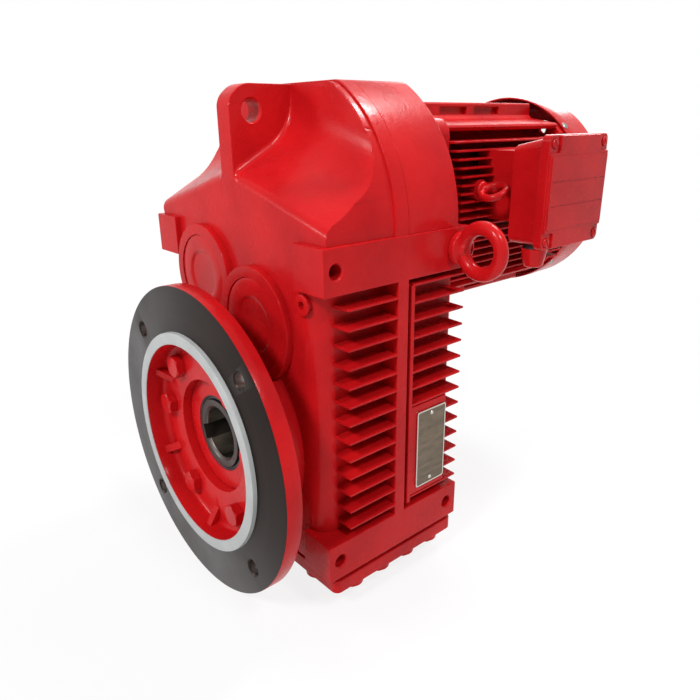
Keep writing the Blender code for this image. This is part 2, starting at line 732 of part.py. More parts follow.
def case_bores():
    """Bearing, seal and cap bores."""
    output = [(0.0, NOSE_Y - 0.01), (OUTPUT_SEAL_RADIUS + GAP, NOSE_Y - 0.01),
              (OUTPUT_SEAL_RADIUS + GAP, OUTPUT_SEAL_Y[1] + GAP),
              (OUTPUT_BEARING_RADIUS - 0.008, OUTPUT_SEAL_Y[1] + 0.004),
              (OUTPUT_BEARING_RADIUS - 0.008, FRONT_BEARING_Y - GAP),
              (OUTPUT_BEARING_RADIUS + GAP, FRONT_BEARING_Y - GAP),
              (OUTPUT_BEARING_RADIUS + GAP, CAVITY_FRONT_Y + 0.004), (0.0, CAVITY_FRONT_Y + 0.004)]
    rear_end = REAR_BEARING_Y + OUTPUT_BEARING_WIDTH + GAP
    seal_front = REAR_BOSS_Y - 0.010
    rear = [(0.0, CAVITY_REAR_Y - 0.004), (OUTPUT_BEARING_RADIUS + GAP, CAVITY_REAR_Y - 0.004),
            (OUTPUT_BEARING_RADIUS + GAP, rear_end), (OUTPUT_BEARING_RADIUS - 0.008, rear_end),
            (OUTPUT_BEARING_RADIUS - 0.008, seal_front - 0.002), (OUTPUT_SEAL_RADIUS + GAP, seal_front - GAP),
            (OUTPUT_SEAL_RADIUS + GAP, REAR_BOSS_Y + 0.01), (0.0, REAR_BOSS_Y + 0.01)]
    cuts = [turned("output_bore", output, place=along_y(), steps=ROUND_STEPS),
            turned("rear_bore", rear, place=along_y(), steps=ROUND_STEPS)]
    front = (CAP_BOSS_Y - 0.01, CAVITY_FRONT_Y + 0.004)
    upper_end = CAVITY_REAR_Y + UPPER_REAR_BEARING_WIDTH + 0.004
    lower_end = CAVITY_REAR_Y + LOWER_BEARING_WIDTH + 0.002
    cuts.append(cylinder("upper_front_bore", UPPER_BEARING_RADIUS + GAP, *front, place=along_y(*UPPER_SHAFT)))
    cuts.append(cylinder("lower_front_bore", LOWER_BEARING_RADIUS + GAP, *front, place=along_y(*LOWER_SHAFT)))
    cuts.append(cylinder("upper_rear_bore", UPPER_REAR_BEARING_RADIUS + GAP, CAVITY_REAR_Y - 0.004, upper_end,
                         place=along_y(*UPPER_SHAFT)))
    cuts.append(cylinder("lower_rear_bore", LOWER_BEARING_RADIUS + GAP, CAVITY_REAR_Y - 0.004, lower_end,
                         place=along_y(*LOWER_SHAFT)))
    return cuts


def case_small_holes():
    """Lug hole, pad holes, screw holes and plug holes."""
    cuts = []
    reach = LUG_HALF_THICKNESS + 0.01
    cuts.append(cylinder("lug_hole", LUG_HOLE_RADIUS, -reach, reach, place=along_x(0.0, LUG_HOLE_Y, LUG_HOLE_Z),
                         steps=24))
    w = CASE_HALF_WIDTH
    chamfer = PAD_HOLE_CHAMFER
    for y in PAD_HOLE_Y:
        for z in PAD_HOLE_Z:
            for side in (-1, 1):
                radius = PAD_HOLE_RADIUS
                steps = SMALL_STEPS
                if y == PAD_HOLE_Y[1] and z == PAD_HOLE_Z[0] and side > 0:
                    radius = CASE_EYE_THREAD_RADIUS + GAP
                    steps = PLUG_STEPS
                profile = [(0.0, -PAD_HOLE_DEPTH), (radius, -PAD_HOLE_DEPTH), (radius, -chamfer),
                           (radius + chamfer * 1.5, 0.0005), (radius + chamfer * 1.5, 0.004), (0.0, 0.004)]
                place = along_x(side * w, y, z)
                if side < 0:
                    place = place @ Matrix.Rotation(math.pi, 4, "X")
                cuts.append(turned("pad_hole", profile, place=place, steps=steps))
    for angle in FLANGE_SCREW_ANGLES:
        x = FLANGE_SCREW_CIRCLE * math.cos(math.radians(angle))
        z = FLANGE_SCREW_CIRCLE * math.sin(math.radians(angle))
        end = FLANGE_SEAT_Y + FLANGE_SCREW_DEPTH + 0.002
        cuts.append(cylinder("screw_hole", FLANGE_SCREW_RADIUS + GAP, FLANGE_SEAT_Y - 0.005, end,
                             place=along_y(x, z), steps=SMALL_STEPS))
    stem = PLUG_STEM_RADIUS + GAP
    depth = PLUG_STEM_LENGTH + 0.001
    cuts.append(cylinder("oil_hole", stem, CASE_FRONT_Y - 0.004, CASE_FRONT_Y + depth,
                         place=along_y(OIL_PLUG_X, OIL_PLUG_Z), steps=PLUG_STEPS))
    for z in (DRAIN_PLUG_Z, BREATHER_PLUG_Z):
        cuts.append(cylinder("rear_hole", stem, CASE_REAR_Y - depth, CASE_REAR_Y + 0.004,
                             place=along_y(REAR_PLUG_X, z), steps=PLUG_STEPS))
    return cuts


def build_gearcase():
    """Block, cast forms and all cuts of the gearcase."""
    case = case_block()
    for piece in case_additions():
        boolean(case, piece, "UNION")
    weld(case)
    for piece in case_fin_cuts():
        boolean(case, piece)
    weld(case)
    for piece in case_cavity_cuts():
        boolean(case, piece)
        weld(case)
    boolean(case, merge_meshes("bores", case_bores() + case_small_holes()))


def build_flange():
    """Output flange with its screws."""
    seat = FLANGE_SEAT_Y - GAP
    wall = PILOT_INNER_RADIUS
    profile = [(FLANGE_RADIUS, 0.0), (FLANGE_RADIUS, FLANGE_THICKNESS - 0.002),
               (FLANGE_RADIUS - 0.002, FLANGE_THICKNESS), (FLANGE_HUB_RADIUS, FLANGE_THICKNESS),
               (FLANGE_HUB_RADIUS, seat), (OPENING_RADIUS, seat), (OPENING_RADIUS, RECESS_FLOOR_Y)]
    centre = (wall - RECESS_FILLET, RECESS_FLOOR_Y - RECESS_FILLET)
    profile += arc(centre, RECESS_FILLET, 90, 0, 2)
    profile += [(wall, -PILOT_HEIGHT), (PILOT_RADIUS - 0.001, -PILOT_HEIGHT), (PILOT_RADIUS, -PILOT_HEIGHT + 0.001),
                (PILOT_RADIUS, 0.0)]
    flange = turned("output_flange", profile, RED, CASE_EMPTY, along_y(), LARGE_STEPS)
    ribs = []
    for angle in FLANGE_RIB_ANGLES:
        low = (wall - FLANGE_RIB_LENGTH, FLANGE_RIB_Y, -FLANGE_RIB_WIDTH / 2)
        high = (wall + 0.002, RECESS_FLOOR_Y + 0.002, FLANGE_RIB_WIDTH / 2)
        rib = box("flange_rib", low, high)
        for vert in rib.data.vertices:
            if vert.co.x < wall - 0.005 and vert.co.y < RECESS_FLOOR_Y:
                vert.co.y = RECESS_FLOOR_Y - 0.001
        rib.matrix_world = Matrix.Rotation(-math.radians(angle), 4, "Y")
        ribs.append(rib)
    boolean(flange, merge_meshes("flange_ribs", ribs), "UNION")
    holes = []
    for k in range(FLANGE_HOLE_COUNT):
        angle = math.radians(45 + 360 * k / FLANGE_HOLE_COUNT)
        x, z = HOLE_CIRCLE_RADIUS * math.cos(angle), HOLE_CIRCLE_RADIUS * math.sin(angle)
        holes.append(cylinder("flange_hole", FLANGE_HOLE_RADIUS, -0.004, FLANGE_THICKNESS + 0.004,
                              place=along_y(x, z), steps=SMALL_STEPS))
    for number, degrees in enumerate(FLANGE_SCREW_ANGLES, 1):
        angle = math.radians(degrees)
        x, z = FLANGE_SCREW_CIRCLE * math.cos(angle), FLANGE_SCREW_CIRCLE * math.sin(angle)
        holes.append(cylinder("screw_way", FLANGE_SCREW_RADIUS + GAP, RECESS_FLOOR_Y - 0.004,
                              FLANGE_SEAT_Y + 0.004, place=along_y(x, z), steps=SMALL_STEPS))
        hex_screw("flange_screw_%d" % number, x, z, degrees)
    boolean(flange, merge_meshes("flange_holes", holes))


def hexagon(across, start=0.0):
    """Outline of a hexagon given its size across flats."""
    radius = across / math.sqrt(3)
    return [(radius * math.cos(math.radians(start + 60 * k)), radius * math.sin(math.radians(start + 60 * k)))
            for k in range(6)]


def hex_screw(name, x, z, turn):
    """Hexagon screw whose head rests on the recess floor."""
    head_back = RECESS_FLOOR_Y - GAP
    stem_end = FLANGE_SEAT_Y + FLANGE_SCREW_DEPTH
    screw = plate(name, [hexagon(FLANGE_SCREW_HEX, turn)], "Y", head_back - FLANGE_SCREW_HEAD, head_back,
                  RED, CASE_EMPTY, (x, z))
    stem = cylinder(name + "_stem", FLANGE_SCREW_RADIUS, head_back - 0.003, stem_end, place=along_y(x, z),
                    steps=SMALL_STEPS)
    boolean(screw, stem, "UNION")


def bearing(name, outer, inner, start, width, place, steps=BEARING_STEPS):
    """Sealed ball bearing, made whole, its seals dished between the ring faces."""
    o = outer
    i = inner + GAP
    lip = 0.0015
    middle = (o + i) / 2
    end = start + width
    profile = [(o, start), (o, end), (middle, end - lip), (i, end), (i, start), (middle, start + lip)]
    turned(name, profile, STEEL, CASE_EMPTY, place, steps)


def seal(name, outer, inner, start, end, place, steps=ROUND_STEPS):
    """Radial shaft seal with a recessed face."""
    o = outer
    i = inner + GAP
    step = (o - i) * 0.35
    lip = min(0.0015, (end - start) / 4)
    profile = [(o, start), (o, end), (i, end), (i, start + lip), (i + step, start)]
    turned(name, profile, RUBBER, CASE_EMPTY, place, steps)


def tooth_outline(module, teeth, phase, shares=(0.0, 0.55, 1.0)):
    """Outline of a spur gear with involute flanks, thinned for backlash; a tooth stands at phase degrees."""
    pitch_radius = module * teeth / 2
    base_radius = pitch_radius * math.cos(math.radians(PRESSURE_ANGLE))
    tip_radius = pitch_radius + module
    root_radius = pitch_radius - 1.25 * module

    def involute(radius):
        """Involute angle at a radius."""
        roll = math.sqrt(max(0.0, (radius / base_radius) ** 2 - 1))
        return roll - math.atan(roll)

    half_pitch = math.pi / 2 / teeth * (1 - 2 * TOOTH_THINNING) + involute(pitch_radius)
    flank = []
    for share in shares:
        radius = root_radius + (tip_radius - root_radius) * share
        flank.append((radius, half_pitch - involute(max(radius, base_radius))))
    points = []
    for k in range(teeth):
        centre = math.radians(phase) + 2 * math.pi * k / teeth
        for radius, half in flank:
            points.append((radius, centre - half))
        for radius, half in reversed(flank):
            points.append((radius, centre + half))
    return [(radius * math.cos(angle), radius * math.sin(angle)) for radius, angle in points]


def direction(start, stop):
    """Angle in degrees of the line from one shaft to another."""
    line = stop - start
    return math.degrees(math.atan2(line.y, line.x))


def gear_phases():
    """Phase of each gear, so that a pinion's tooth stands in its gear's gap."""
    phases = {}
    pairs = (("input", MOTOR_AXIS, UPPER_SHAFT, INPUT_GEAR_TEETH),
             ("middle", UPPER_SHAFT, LOWER_SHAFT, MIDDLE_GEAR_TEETH),
             ("output", LOWER_SHAFT, OUTPUT_AXIS, OUTPUT_GEAR_TEETH))
    for stage, pinion, gear, teeth in pairs:
        phases[stage] = (direction(pinion, gear), direction(gear, pinion) + 180 / teeth)
    return phases


PHASES = gear_phases()


def circle(radius, steps=ROUND_STEPS):
    """Closed round outline."""
    return arc((0.0, 0.0), radius, 0, 360 * (steps - 1) / steps, steps - 1)


def gear(name, module, teeth, phase, bore, span, parent):
    """Spur gear wheel with a round bore."""
    outline = tooth_outline(module, teeth, phase, (0.0, 1.0))
    wheel = plate(name, [outline, circle(bore)], "Y", span[0], span[1], STEEL, parent)
    return wheel


def build_output():
    """Hollow shaft, key, wheel, bearings and seals of the output."""
    front, rear = SHAFT_FRONT_Y, SHAFT_REAR_Y
    bore = SHAFT_BORE_RADIUS
    c = SHAFT_BORE_CHAMFER
    wheel = OUTPUT_STAGE_Y
    profile = [(bore, front + c), (bore + c, front), (SHAFT_RADIUS, front),
               (SHAFT_RADIUS, wheel[0] - 0.010), (SHAFT_COLLAR_RADIUS + 0.004, wheel[0] - 0.010),
               (SHAFT_COLLAR_RADIUS + 0.004, wheel[0] - GAP), (SHAFT_COLLAR_RADIUS, wheel[0] - GAP),
               (SHAFT_COLLAR_RADIUS, wheel[1] + 0.001), (SHAFT_RADIUS, wheel[1] + 0.001),
               (SHAFT_RADIUS, rear), (bore + c, rear), (bore, rear - c)]
    shaft = turned("hollow_shaft", profile, DARK_STEEL, OUTPUT_EMPTY, along_y(), ROUND_STEPS)
    half = KEYWAY_WIDTH / 2
    way = box("keyway", (bore - 0.006, front - 0.004, -half), (bore + KEYWAY_DEPTH, rear + 0.004, half))
    way.matrix_world = Matrix.Rotation(-math.radians(KEYWAY_ANGLE), 4, "Y")
    boolean(shaft, way)
    _, phase = PHASES["output"]
    wheel_part = gear("output_gear", OUTPUT_MODULE, OUTPUT_GEAR_TEETH, phase, SHAFT_COLLAR_RADIUS + GAP, wheel,
                      OUTPUT_EMPTY)
    key_low, key_high = wheel[0] + 0.006, wheel[1] - 0.006
    key_half = 0.006
    key_r = SHAFT_COLLAR_RADIUS
    box_slot = (key_r - 0.004 - GAP, key_low - GAP, -key_half - GAP), (key_r + 0.004 + GAP, key_high + GAP,
                                                                       key_half + GAP)
    way_slot = (key_r - 0.004, wheel[0] - 0.004, -key_half - GAP), (key_r + 0.004 + GAP, wheel[1] + 0.004,
                                                                    key_half + GAP)
    boolean(shaft, box("key_seat", *box_slot))
    boolean(wheel_part, box("key_slot", *way_slot))
    box("output_key", (key_r - 0.004, key_low, -key_half), (key_r + 0.004, key_high, key_half), STEEL, OUTPUT_EMPTY)
    for name, seat in (("front_output_bearing", FRONT_BEARING_Y), ("rear_output_bearing", REAR_BEARING_Y)):
        bearing(name, OUTPUT_BEARING_RADIUS, SHAFT_RADIUS, seat, OUTPUT_BEARING_WIDTH, along_y(), ROUND_STEPS)
    seal("front_seal", OUTPUT_SEAL_RADIUS, SHAFT_RADIUS, *OUTPUT_SEAL_Y, along_y())
    seal("rear_seal", OUTPUT_SEAL_RADIUS, SHAFT_RADIUS, REAR_BOSS_Y - 0.010, REAR_BOSS_Y - 0.001, along_y())


def pinion_shaft(name, parent, module, teeth, phase, span, steps_list):
    """Shaft with a cut pinion: a toothed length joined with turned seats."""
    shaft = plate(name, [tooth_outline(module, teeth, phase)], "Y", span[0], span[1], STEEL, parent)
    body = turned(name + "_seats", steps_list, place=along_y(), steps=BEARING_STEPS)
    boolean(shaft, body, "UNION")
    return shaft


def stepped(seats):
    """Profile of a shaft from (radius, low, high) seats that follow on each other."""
    profile = [(0.0, seats[0][1])]
    for radius, low, high in seats:
        profile += [(radius, low), (radius, high)]
    profile.append((0.0, seats[-1][2]))
    return profile


def build_intermediate():
    """Both intermediate shafts with their wheels, bearings and closing caps."""
    phase_in = PHASES["input"][1]
    phase_mid = PHASES["middle"]
    phase_out = PHASES["output"][0]
    front = CAVITY_FRONT_Y - 0.001
    upper_start = front - UPPER_BEARING_WIDTH
    lower_start = front - LOWER_BEARING_WIDTH
    rear_start = CAVITY_REAR_Y + 0.001
    upper_rear = UPPER_REAR_BEARING_WIDTH
    pinion_root = MIDDLE_MODULE * (MIDDLE_PINION_TEETH / 2 - 1.25)
    seat = min(GEAR_SEAT_RADIUS - 0.002, pinion_root - 0.0005)
    upper_seats = stepped([(UPPER_SEAT_RADIUS, upper_start, front + 0.001),
                           (seat, front + 0.001, MIDDLE_STAGE_Y[0] + 0.002),
                           (seat - 0.002, MIDDLE_STAGE_Y[0] + 0.002, rear_start - 0.002),
                           (UPPER_REAR_SEAT_RADIUS, rear_start - 0.002, rear_start + upper_rear)])
    pinion_shaft("upper_pinion_shaft", UPPER_EMPTY, MIDDLE_MODULE, MIDDLE_PINION_TEETH, phase_mid[0],
                 (MIDDLE_STAGE_Y[0] - 0.001, MIDDLE_STAGE_Y[1] + 0.001), upper_seats)
    gear("upper_gear", INPUT_MODULE, INPUT_GEAR_TEETH, phase_in, seat + GAP, INPUT_STAGE_Y, UPPER_EMPTY)
    lower_seats = stepped([(LOWER_SEAT_RADIUS, lower_start, front + 0.001),
                           (GEAR_SEAT_RADIUS, front + 0.001, MIDDLE_STAGE_Y[1] + 0.001),
                           (GEAR_SEAT_RADIUS + 0.004, MIDDLE_STAGE_Y[1] + 0.001, rear_start - 0.002),
                           (LOWER_SEAT_RADIUS, rear_start - 0.002, rear_start + LOWER_BEARING_WIDTH)])
    pinion_shaft("lower_pinion_shaft", LOWER_EMPTY, OUTPUT_MODULE, OUTPUT_PINION_TEETH, phase_out,
                 (OUTPUT_STAGE_Y[0] - 0.001, OUTPUT_STAGE_Y[1] + 0.001), lower_seats)
    gear("lower_gear", MIDDLE_MODULE, MIDDLE_GEAR_TEETH, phase_mid[1], GEAR_SEAT_RADIUS + GAP, MIDDLE_STAGE_Y,
         LOWER_EMPTY)
    bearing("upper_front_bearing", UPPER_BEARING_RADIUS, UPPER_SEAT_RADIUS, upper_start, UPPER_BEARING_WIDTH,
            along_y(*UPPER_SHAFT))
    bearing("lower_front_bearing", LOWER_BEARING_RADIUS, LOWER_SEAT_RADIUS, lower_start, LOWER_BEARING_WIDTH,
            along_y(*LOWER_SHAFT))
    bearing("upper_rear_bearing", UPPER_REAR_BEARING_RADIUS, UPPER_REAR_SEAT_RADIUS, rear_start, upper_rear,
            along_y(*UPPER_SHAFT))
    bearing("lower_rear_bearing", LOWER_BEARING_RADIUS, LOWER_SEAT_RADIUS, rear_start, LOWER_BEARING_WIDTH,
            along_y(*LOWER_SHAFT))
    caps = (("closing_cap_upper", UPPER_BEARING_RADIUS, UPPER_SHAFT, CAP_BOSS_Y, upper_start),
            ("closing_cap_lower", LOWER_BEARING_RADIUS, LOWER_SHAFT, LOWER_CAP_BOSS_Y, lower_start))
    for name, radius, place, boss, end in caps:
        face = boss + 0.001
        back = min(face + CAP_THICKNESS, end - GAP)
        wall = 0.0022
        profile = [(0.0, face + wall), (radius * 0.55, face + wall), (radius * 0.62, face), (radius - 0.0015, face),
                   (radius, face + 0.0015), (radius, back), (radius - wall, back), (radius - wall, face + wall),
                   (radius * 0.66, face + wall), (radius * 0.58, face + 2 * wall), (0.0, face + 2 * wall)]
        turned(name, profile, RED, CASE_EMPTY, along_y(*place), 24)


def build_plugs():
    """Oil, drain and breather plugs with hexagon sockets."""
    head = [(0.0, -PLUG_HEAD), (PLUG_RADIUS - 0.001, -PLUG_HEAD), (PLUG_RADIUS, -PLUG_HEAD + 0.001),
            (PLUG_RADIUS, -GAP), (PLUG_STEM_RADIUS, -GAP), (PLUG_STEM_RADIUS, PLUG_STEM_LENGTH),
            (0.0, PLUG_STEM_LENGTH)]
    rear = Matrix.Rotation(math.pi, 4, "X")
    places = (("oil_plug", along_y(OIL_PLUG_X, OIL_PLUG_Z, CASE_FRONT_Y)),
              ("drain_plug", along_y(REAR_PLUG_X, DRAIN_PLUG_Z, CASE_REAR_Y) @ rear),
              ("breather_plug", along_y(REAR_PLUG_X, BREATHER_PLUG_Z, CASE_REAR_Y) @ rear))
    for name, place in places:
        plug = turned(name, head, RED if name == "oil_plug" else STEEL, CASE_EMPTY, place, PLUG_STEPS)
        mesh = flat_mesh([hexagon(0.008)], 0.010)
        mesh.transform(Matrix.Translation((0, 0, -PLUG_HEAD)))
        boolean(plug, add(name + "_socket", mesh, place=place))


def cover_outline(inset):
    """Plan outline of the bottom cover."""
    w = CASE_HALF_WIDTH - inset
    front = CASE_FRONT_Y + inset
    rear = CASE_REAR_Y - inset
    return rounded([(-w, front, 0.030), (w, front, 0.030), (w, rear, 0.012), (-w, rear, 0.012)], 4)


def cover_boss_places():
    """Places of the bolt bosses round the cover's edge."""
    w = CASE_HALF_WIDTH - COVER_INSET - COVER_BOSS_RADIUS * 0.9
    front = CASE_FRONT_Y + COVER_INSET + COVER_BOSS_RADIUS * 0.9
    rear = CASE_REAR_Y - COVER_INSET - COVER_BOSS_RADIUS * 0.9
    places = []
    for k in range(COVER_BOSSES_ALONG):
        y = front + (rear - front) * (k + 0.5) / COVER_BOSSES_ALONG
        places += [(-w, y), (w, y)]
    for k in range(COVER_BOSSES_ACROSS):
        x = -w + 2 * w * (k + 0.5) / COVER_BOSSES_ACROSS
        places += [(x, front), (x, rear)]
    return places


def build_bottom():
    """Gasket and bottom cover with its bosses."""
    top = CASE_BOTTOM_Z - GAP
    hole = [(x * 0.78, 0.157 + (y - 0.157) * 0.72) for x, y in cover_outline(COVER_INSET)]
    plate("bottom_gasket", [cover_outline(COVER_INSET + COVER_GROOVE), hole], "Z", top - GASKET_THICKNESS, top,
          GASKET, CASE_EMPTY)
    step_top = top - GASKET_THICKNESS - GAP
    cover = plate("bottom_cover", [cover_outline(COVER_INSET)], "Z", COVER_LOW_Z, COVER_TOP_Z, RED, CASE_EMPTY)
    step = plate("cover_step", [cover_outline(COVER_INSET + COVER_GROOVE)], "Z", COVER_TOP_Z - 0.002, step_top)
    boolean(cover, step, "UNION")
    bosses = [cylinder("cover_boss", COVER_BOSS_RADIUS, COVER_LOW_Z - COVER_BOSS_DROP, COVER_TOP_Z - 0.002,
                       place=Matrix.Translation((x, y, 0.0)), steps=8) for x, y in cover_boss_places()]
    boolean(cover, merge_meshes("cover_bosses", bosses), "UNION")


def build_nameplate():
    """Bare plate on the right flank."""
    x = CASE_HALF_WIDTH + GAP
    (y0, y1), (z0, z1) = NAMEPLATE_Y, NAMEPLATE_Z
    corners = [(y0, z0, 0.003), (y1, z0, 0.003), (y1, z1, 0.003), (y0, z1, 0.003)]
    plate("nameplate", [rounded(corners, 2)], "X", x, x + NAMEPLATE_THICKNESS, BRONZE, CASE_EMPTY)


def build_adapter():
    """Adapter between the bell and the motor, with the input seal."""
    low = CASE_TOP_Z + GAP
    start = BELL_REAR_Y + GAP
    adapter = plate("adapter", [bell_outline(0.0, low)], "Y", start, ADAPTER_REAR_Y, RED, CASE_EMPTY)
    place = along_y(*MOTOR_AXIS)
    nose_end = ENDSHIELD_CLEAR_Y - GAP
    nose = cylinder("adapter_nose", ADAPTER_NOSE_RADIUS, start, nose_end, place=place)
    boolean(adapter, nose, "UNION")
    seat = start + INPUT_SEAL_WIDTH + GAP
    bore = [(0.0, start - 0.01), (INPUT_SEAL_RADIUS + GAP, start - 0.01), (INPUT_SEAL_RADIUS + GAP, seat),
            (ADAPTER_BORE_RADIUS, seat), (ADAPTER_BORE_RADIUS, nose_end + 0.01), (0.0, nose_end + 0.01)]
    boolean(adapter, turned("adapter_bore", bore, place=place))
    seal("input_seal", INPUT_SEAL_RADIUS, ROTOR_SHAFT_RADIUS, start, start + INPUT_SEAL_WIDTH, place, BEARING_STEPS)


def square_outline(half, corner, low=None):
    """Rounded square about the motor axis, cut flat at low when it is given."""
    z = MOTOR_AXIS_Z
    bottom = z - half if low is None else low
    radius = corner if low is None else 0.0
    return rounded([(-half, bottom, radius), (half, bottom, radius), (half, z + half, corner),
                    (-half, z + half, corner)], 4)


def build_endshields():
    """Drive endshield and rear endshield with the motor's bearings."""
    place = along_y(*MOTOR_AXIS)
    rear = FRAME_FRONT_Y - GAP
    shield = plate("drive_endshield", [square_outline(ENDSHIELD_HALF, ENDSHIELD_CORNER)], "Y", ENDSHIELD_CLEAR_Y,
                   rear, RED, CASE_EMPTY)
    neck = plate("shield_neck", [square_outline(ENDSHIELD_HALF, ENDSHIELD_CORNER, CASE_TOP_Z + 2 * GAP)], "Y",
                 ADAPTER_REAR_Y + GAP, ENDSHIELD_CLEAR_Y + 0.002)
    boolean(shield, neck, "UNION")
    nose = cylinder("nose_room", ADAPTER_NOSE_RADIUS + GAP, ADAPTER_REAR_Y - 0.004, ENDSHIELD_CLEAR_Y + 0.0001,
                    place=place)
    boolean(shield, nose)
    seat = rear - MOTOR_BEARING_WIDTH - 0.001
    bore = [(0.0, ADAPTER_REAR_Y - 0.01), (ADAPTER_BORE_RADIUS, ADAPTER_REAR_Y - 0.01), (ADAPTER_BORE_RADIUS, seat),
            (MOTOR_BEARING_RADIUS + GAP, seat), (MOTOR_BEARING_RADIUS + GAP, rear + 0.01), (0.0, rear + 0.01)]
    boolean(shield, turned("shield_bore", bore, place=place))
    bearing("motor_front_bearing", MOTOR_BEARING_RADIUS, MOTOR_SEAT_RADIUS, seat + GAP, MOTOR_BEARING_WIDTH, place)
    start = FRAME_REAR_Y + GAP
    end = REAR_SHIELD_Y
    outer = REAR_SHIELD_RADIUS
    profile = [(ROTOR_SHAFT_RADIUS + 0.002, end), (0.062, end), (0.075, end - 0.008), (outer - 0.004, end - 0.010),
               (outer, end - 0.013), (outer, start), (MOTOR_BEARING_RADIUS + GAP, start),
               (MOTOR_BEARING_RADIUS + GAP, start + MOTOR_BEARING_WIDTH - 0.002 + GAP),
               (ROTOR_SHAFT_RADIUS + 0.002, start + MOTOR_BEARING_WIDTH - 0.002 + GAP)]
    shield = turned("rear_endshield", profile, RED, CASE_EMPTY, place, ROUND_STEPS)
    lugs = []
    reach = FAN_COVER_RADIUS - FAN_COVER_WALL - GAP
    for angle in (45, 135, 225, 315):
        low = (outer - 0.012, start, -0.009)
        high = (reach - 0.0010, end - 0.002, 0.009)
        lug = box("cover_lug", low, high)
        lug.matrix_world = Matrix.Translation((MOTOR_AXIS.x, 0.0, MOTOR_AXIS.y)) @ Matrix.Rotation(
            -math.radians(angle), 4, "Y")
        lugs.append(lug)
    boolean(shield, merge_meshes("cover_lugs", lugs), "UNION")
    bearing("motor_rear_bearing", MOTOR_BEARING_RADIUS, MOTOR_SEAT_RADIUS, start - 0.002, MOTOR_BEARING_WIDTH,
            place)


def frame_outline():
    """Section of the finned stator frame about the motor axis."""
    quarter = []
    radius = FRAME_RADIUS
    half = FRAME_FIN_THICKNESS / 2
    count = int(FRAME_FIN_REACH / FRAME_FIN_PITCH + 0.5)
    for k in range(count):
        z = FRAME_FIN_PITCH * (k + 0.5)
        reach = FRAME_HALF_WIDTH - 0.014 * max(0.0, z / FRAME_FIN_REACH - 0.55) / 0.45
        low = math.sqrt(radius ** 2 - (z - half) ** 2)
        high = math.sqrt(radius ** 2 - (z + half) ** 2)
        quarter += [(low, z - half), (reach, z - half * 0.7), (reach, z + half * 0.7), (high, z + half)]
    rib_low = FRAME_RIB_Z - 0.006
    quarter.append((math.sqrt(radius ** 2 - rib_low ** 2) + 0.004, rib_low - 0.002))
    quarter += [(FRAME_RIB_X - 0.003, rib_low), (FRAME_RIB_X, rib_low + 0.0036), (FRAME_RIB_X - 0.002, FRAME_RIB_Z + 0.0004)]
    quarter.append((FRAME_PAD_HALF + 0.004, FRAME_RIB_Z + 0.007))
    quarter.append((FRAME_PAD_HALF, FRAME_RIB_Z + 0.011))
    quarter += [(FRAME_PAD_HALF, FRAME_PAD_HEIGHT - 0.002), (FRAME_PAD_HALF - 0.002, FRAME_PAD_HEIGHT)]
    upper = quarter + [(-x, z) for x, z in reversed(quarter)]
    return upper + [(-x, -z) for x, z in upper]


def build_frame():
    """Stator frame, stator core and windings."""
    frame = plate("stator_frame", [frame_outline(), circle(FRAME_BORE_RADIUS, LARGE_STEPS)], "Y", FRAME_FRONT_Y, FRAME_REAR_Y,
                  RED, CASE_EMPTY, tuple(MOTOR_AXIS))
    z = MOTOR_AXIS_Z
    pockets = []
    span = FRAME_REAR_Y - FRAME_FRONT_Y
    for share in ((0.20, 0.42), (0.48, 0.70)):
        for side in (-1, 1):
            for up in (-1, 1):
                xs = sorted((side * (FRAME_PAD_HALF - FRAME_PAD_POCKET), side * (FRAME_PAD_HALF + 0.003)))
                zs = sorted((z + up * (FRAME_RIB_Z + 0.012), z + up * (FRAME_PAD_HEIGHT - 0.005)))
                pockets.append(((xs[0], FRAME_FRONT_Y + share[0] * span, zs[0]),
                                (xs[1], FRAME_FRONT_Y + share[1] * span, zs[1])))
    boolean(frame, add("pad_pockets", box_mesh("pad_pockets", pockets)))
    low = (FRAME_RADIUS - 0.006, PEDESTAL_Y[0], PEDESTAL_Z[0])
    high = (BOX_SEAT_X - GAP, PEDESTAL_Y[1], PEDESTAL_Z[1])
    boolean(frame, box("pedestal", low, high), "UNION")
    eye = MOTOR_EYE_COLLAR_RADIUS + 0.002
    pad = cylinder("eye_pad", eye, FRAME_RADIUS - 0.007, FRAME_HALF_WIDTH + EYE_PAD_RISE,
                   place=along_x(0.0, MOTOR_EYE_Y, MOTOR_EYE_Z), steps=24)
    boolean(frame, pad, "UNION")
    depth = MOTOR_EYE_THREAD_LENGTH + 0.001
    hole = cylinder("eye_hole", MOTOR_EYE_THREAD_RADIUS + GAP, FRAME_HALF_WIDTH - depth, FRAME_HALF_WIDTH + 0.004,
                    place=along_x(0.0, MOTOR_EYE_Y, MOTOR_EYE_Z), steps=SMALL_STEPS)
    boolean(frame, hole)
    window = box("wire_window", (FRAME_BORE_RADIUS - 0.02, PEDESTAL_Y[0] + 0.016, PEDESTAL_Z[0] + 0.016),
                 (BOX_SEAT_X + 0.004, PEDESTAL_Y[1] - 0.016, PEDESTAL_Z[1] - 0.016))
    boolean(frame, window)
    inner = STATOR_INNER_RADIUS
    outer = FRAME_BORE_RADIUS - 2 * GAP
    low, high = ROTOR_CORE_Y
    end = WINDING_LENGTH
    profile = [(inner, low), (inner + 0.006, low - end), (inner + 0.018, low - end), (outer, low), (outer, high),
               (inner + 0.018, high + end), (inner + 0.006, high + end), (inner, high)]
    turned("stator_core", profile, COPPER, CASE_EMPTY, along_y(*MOTOR_AXIS), ROUND_STEPS)


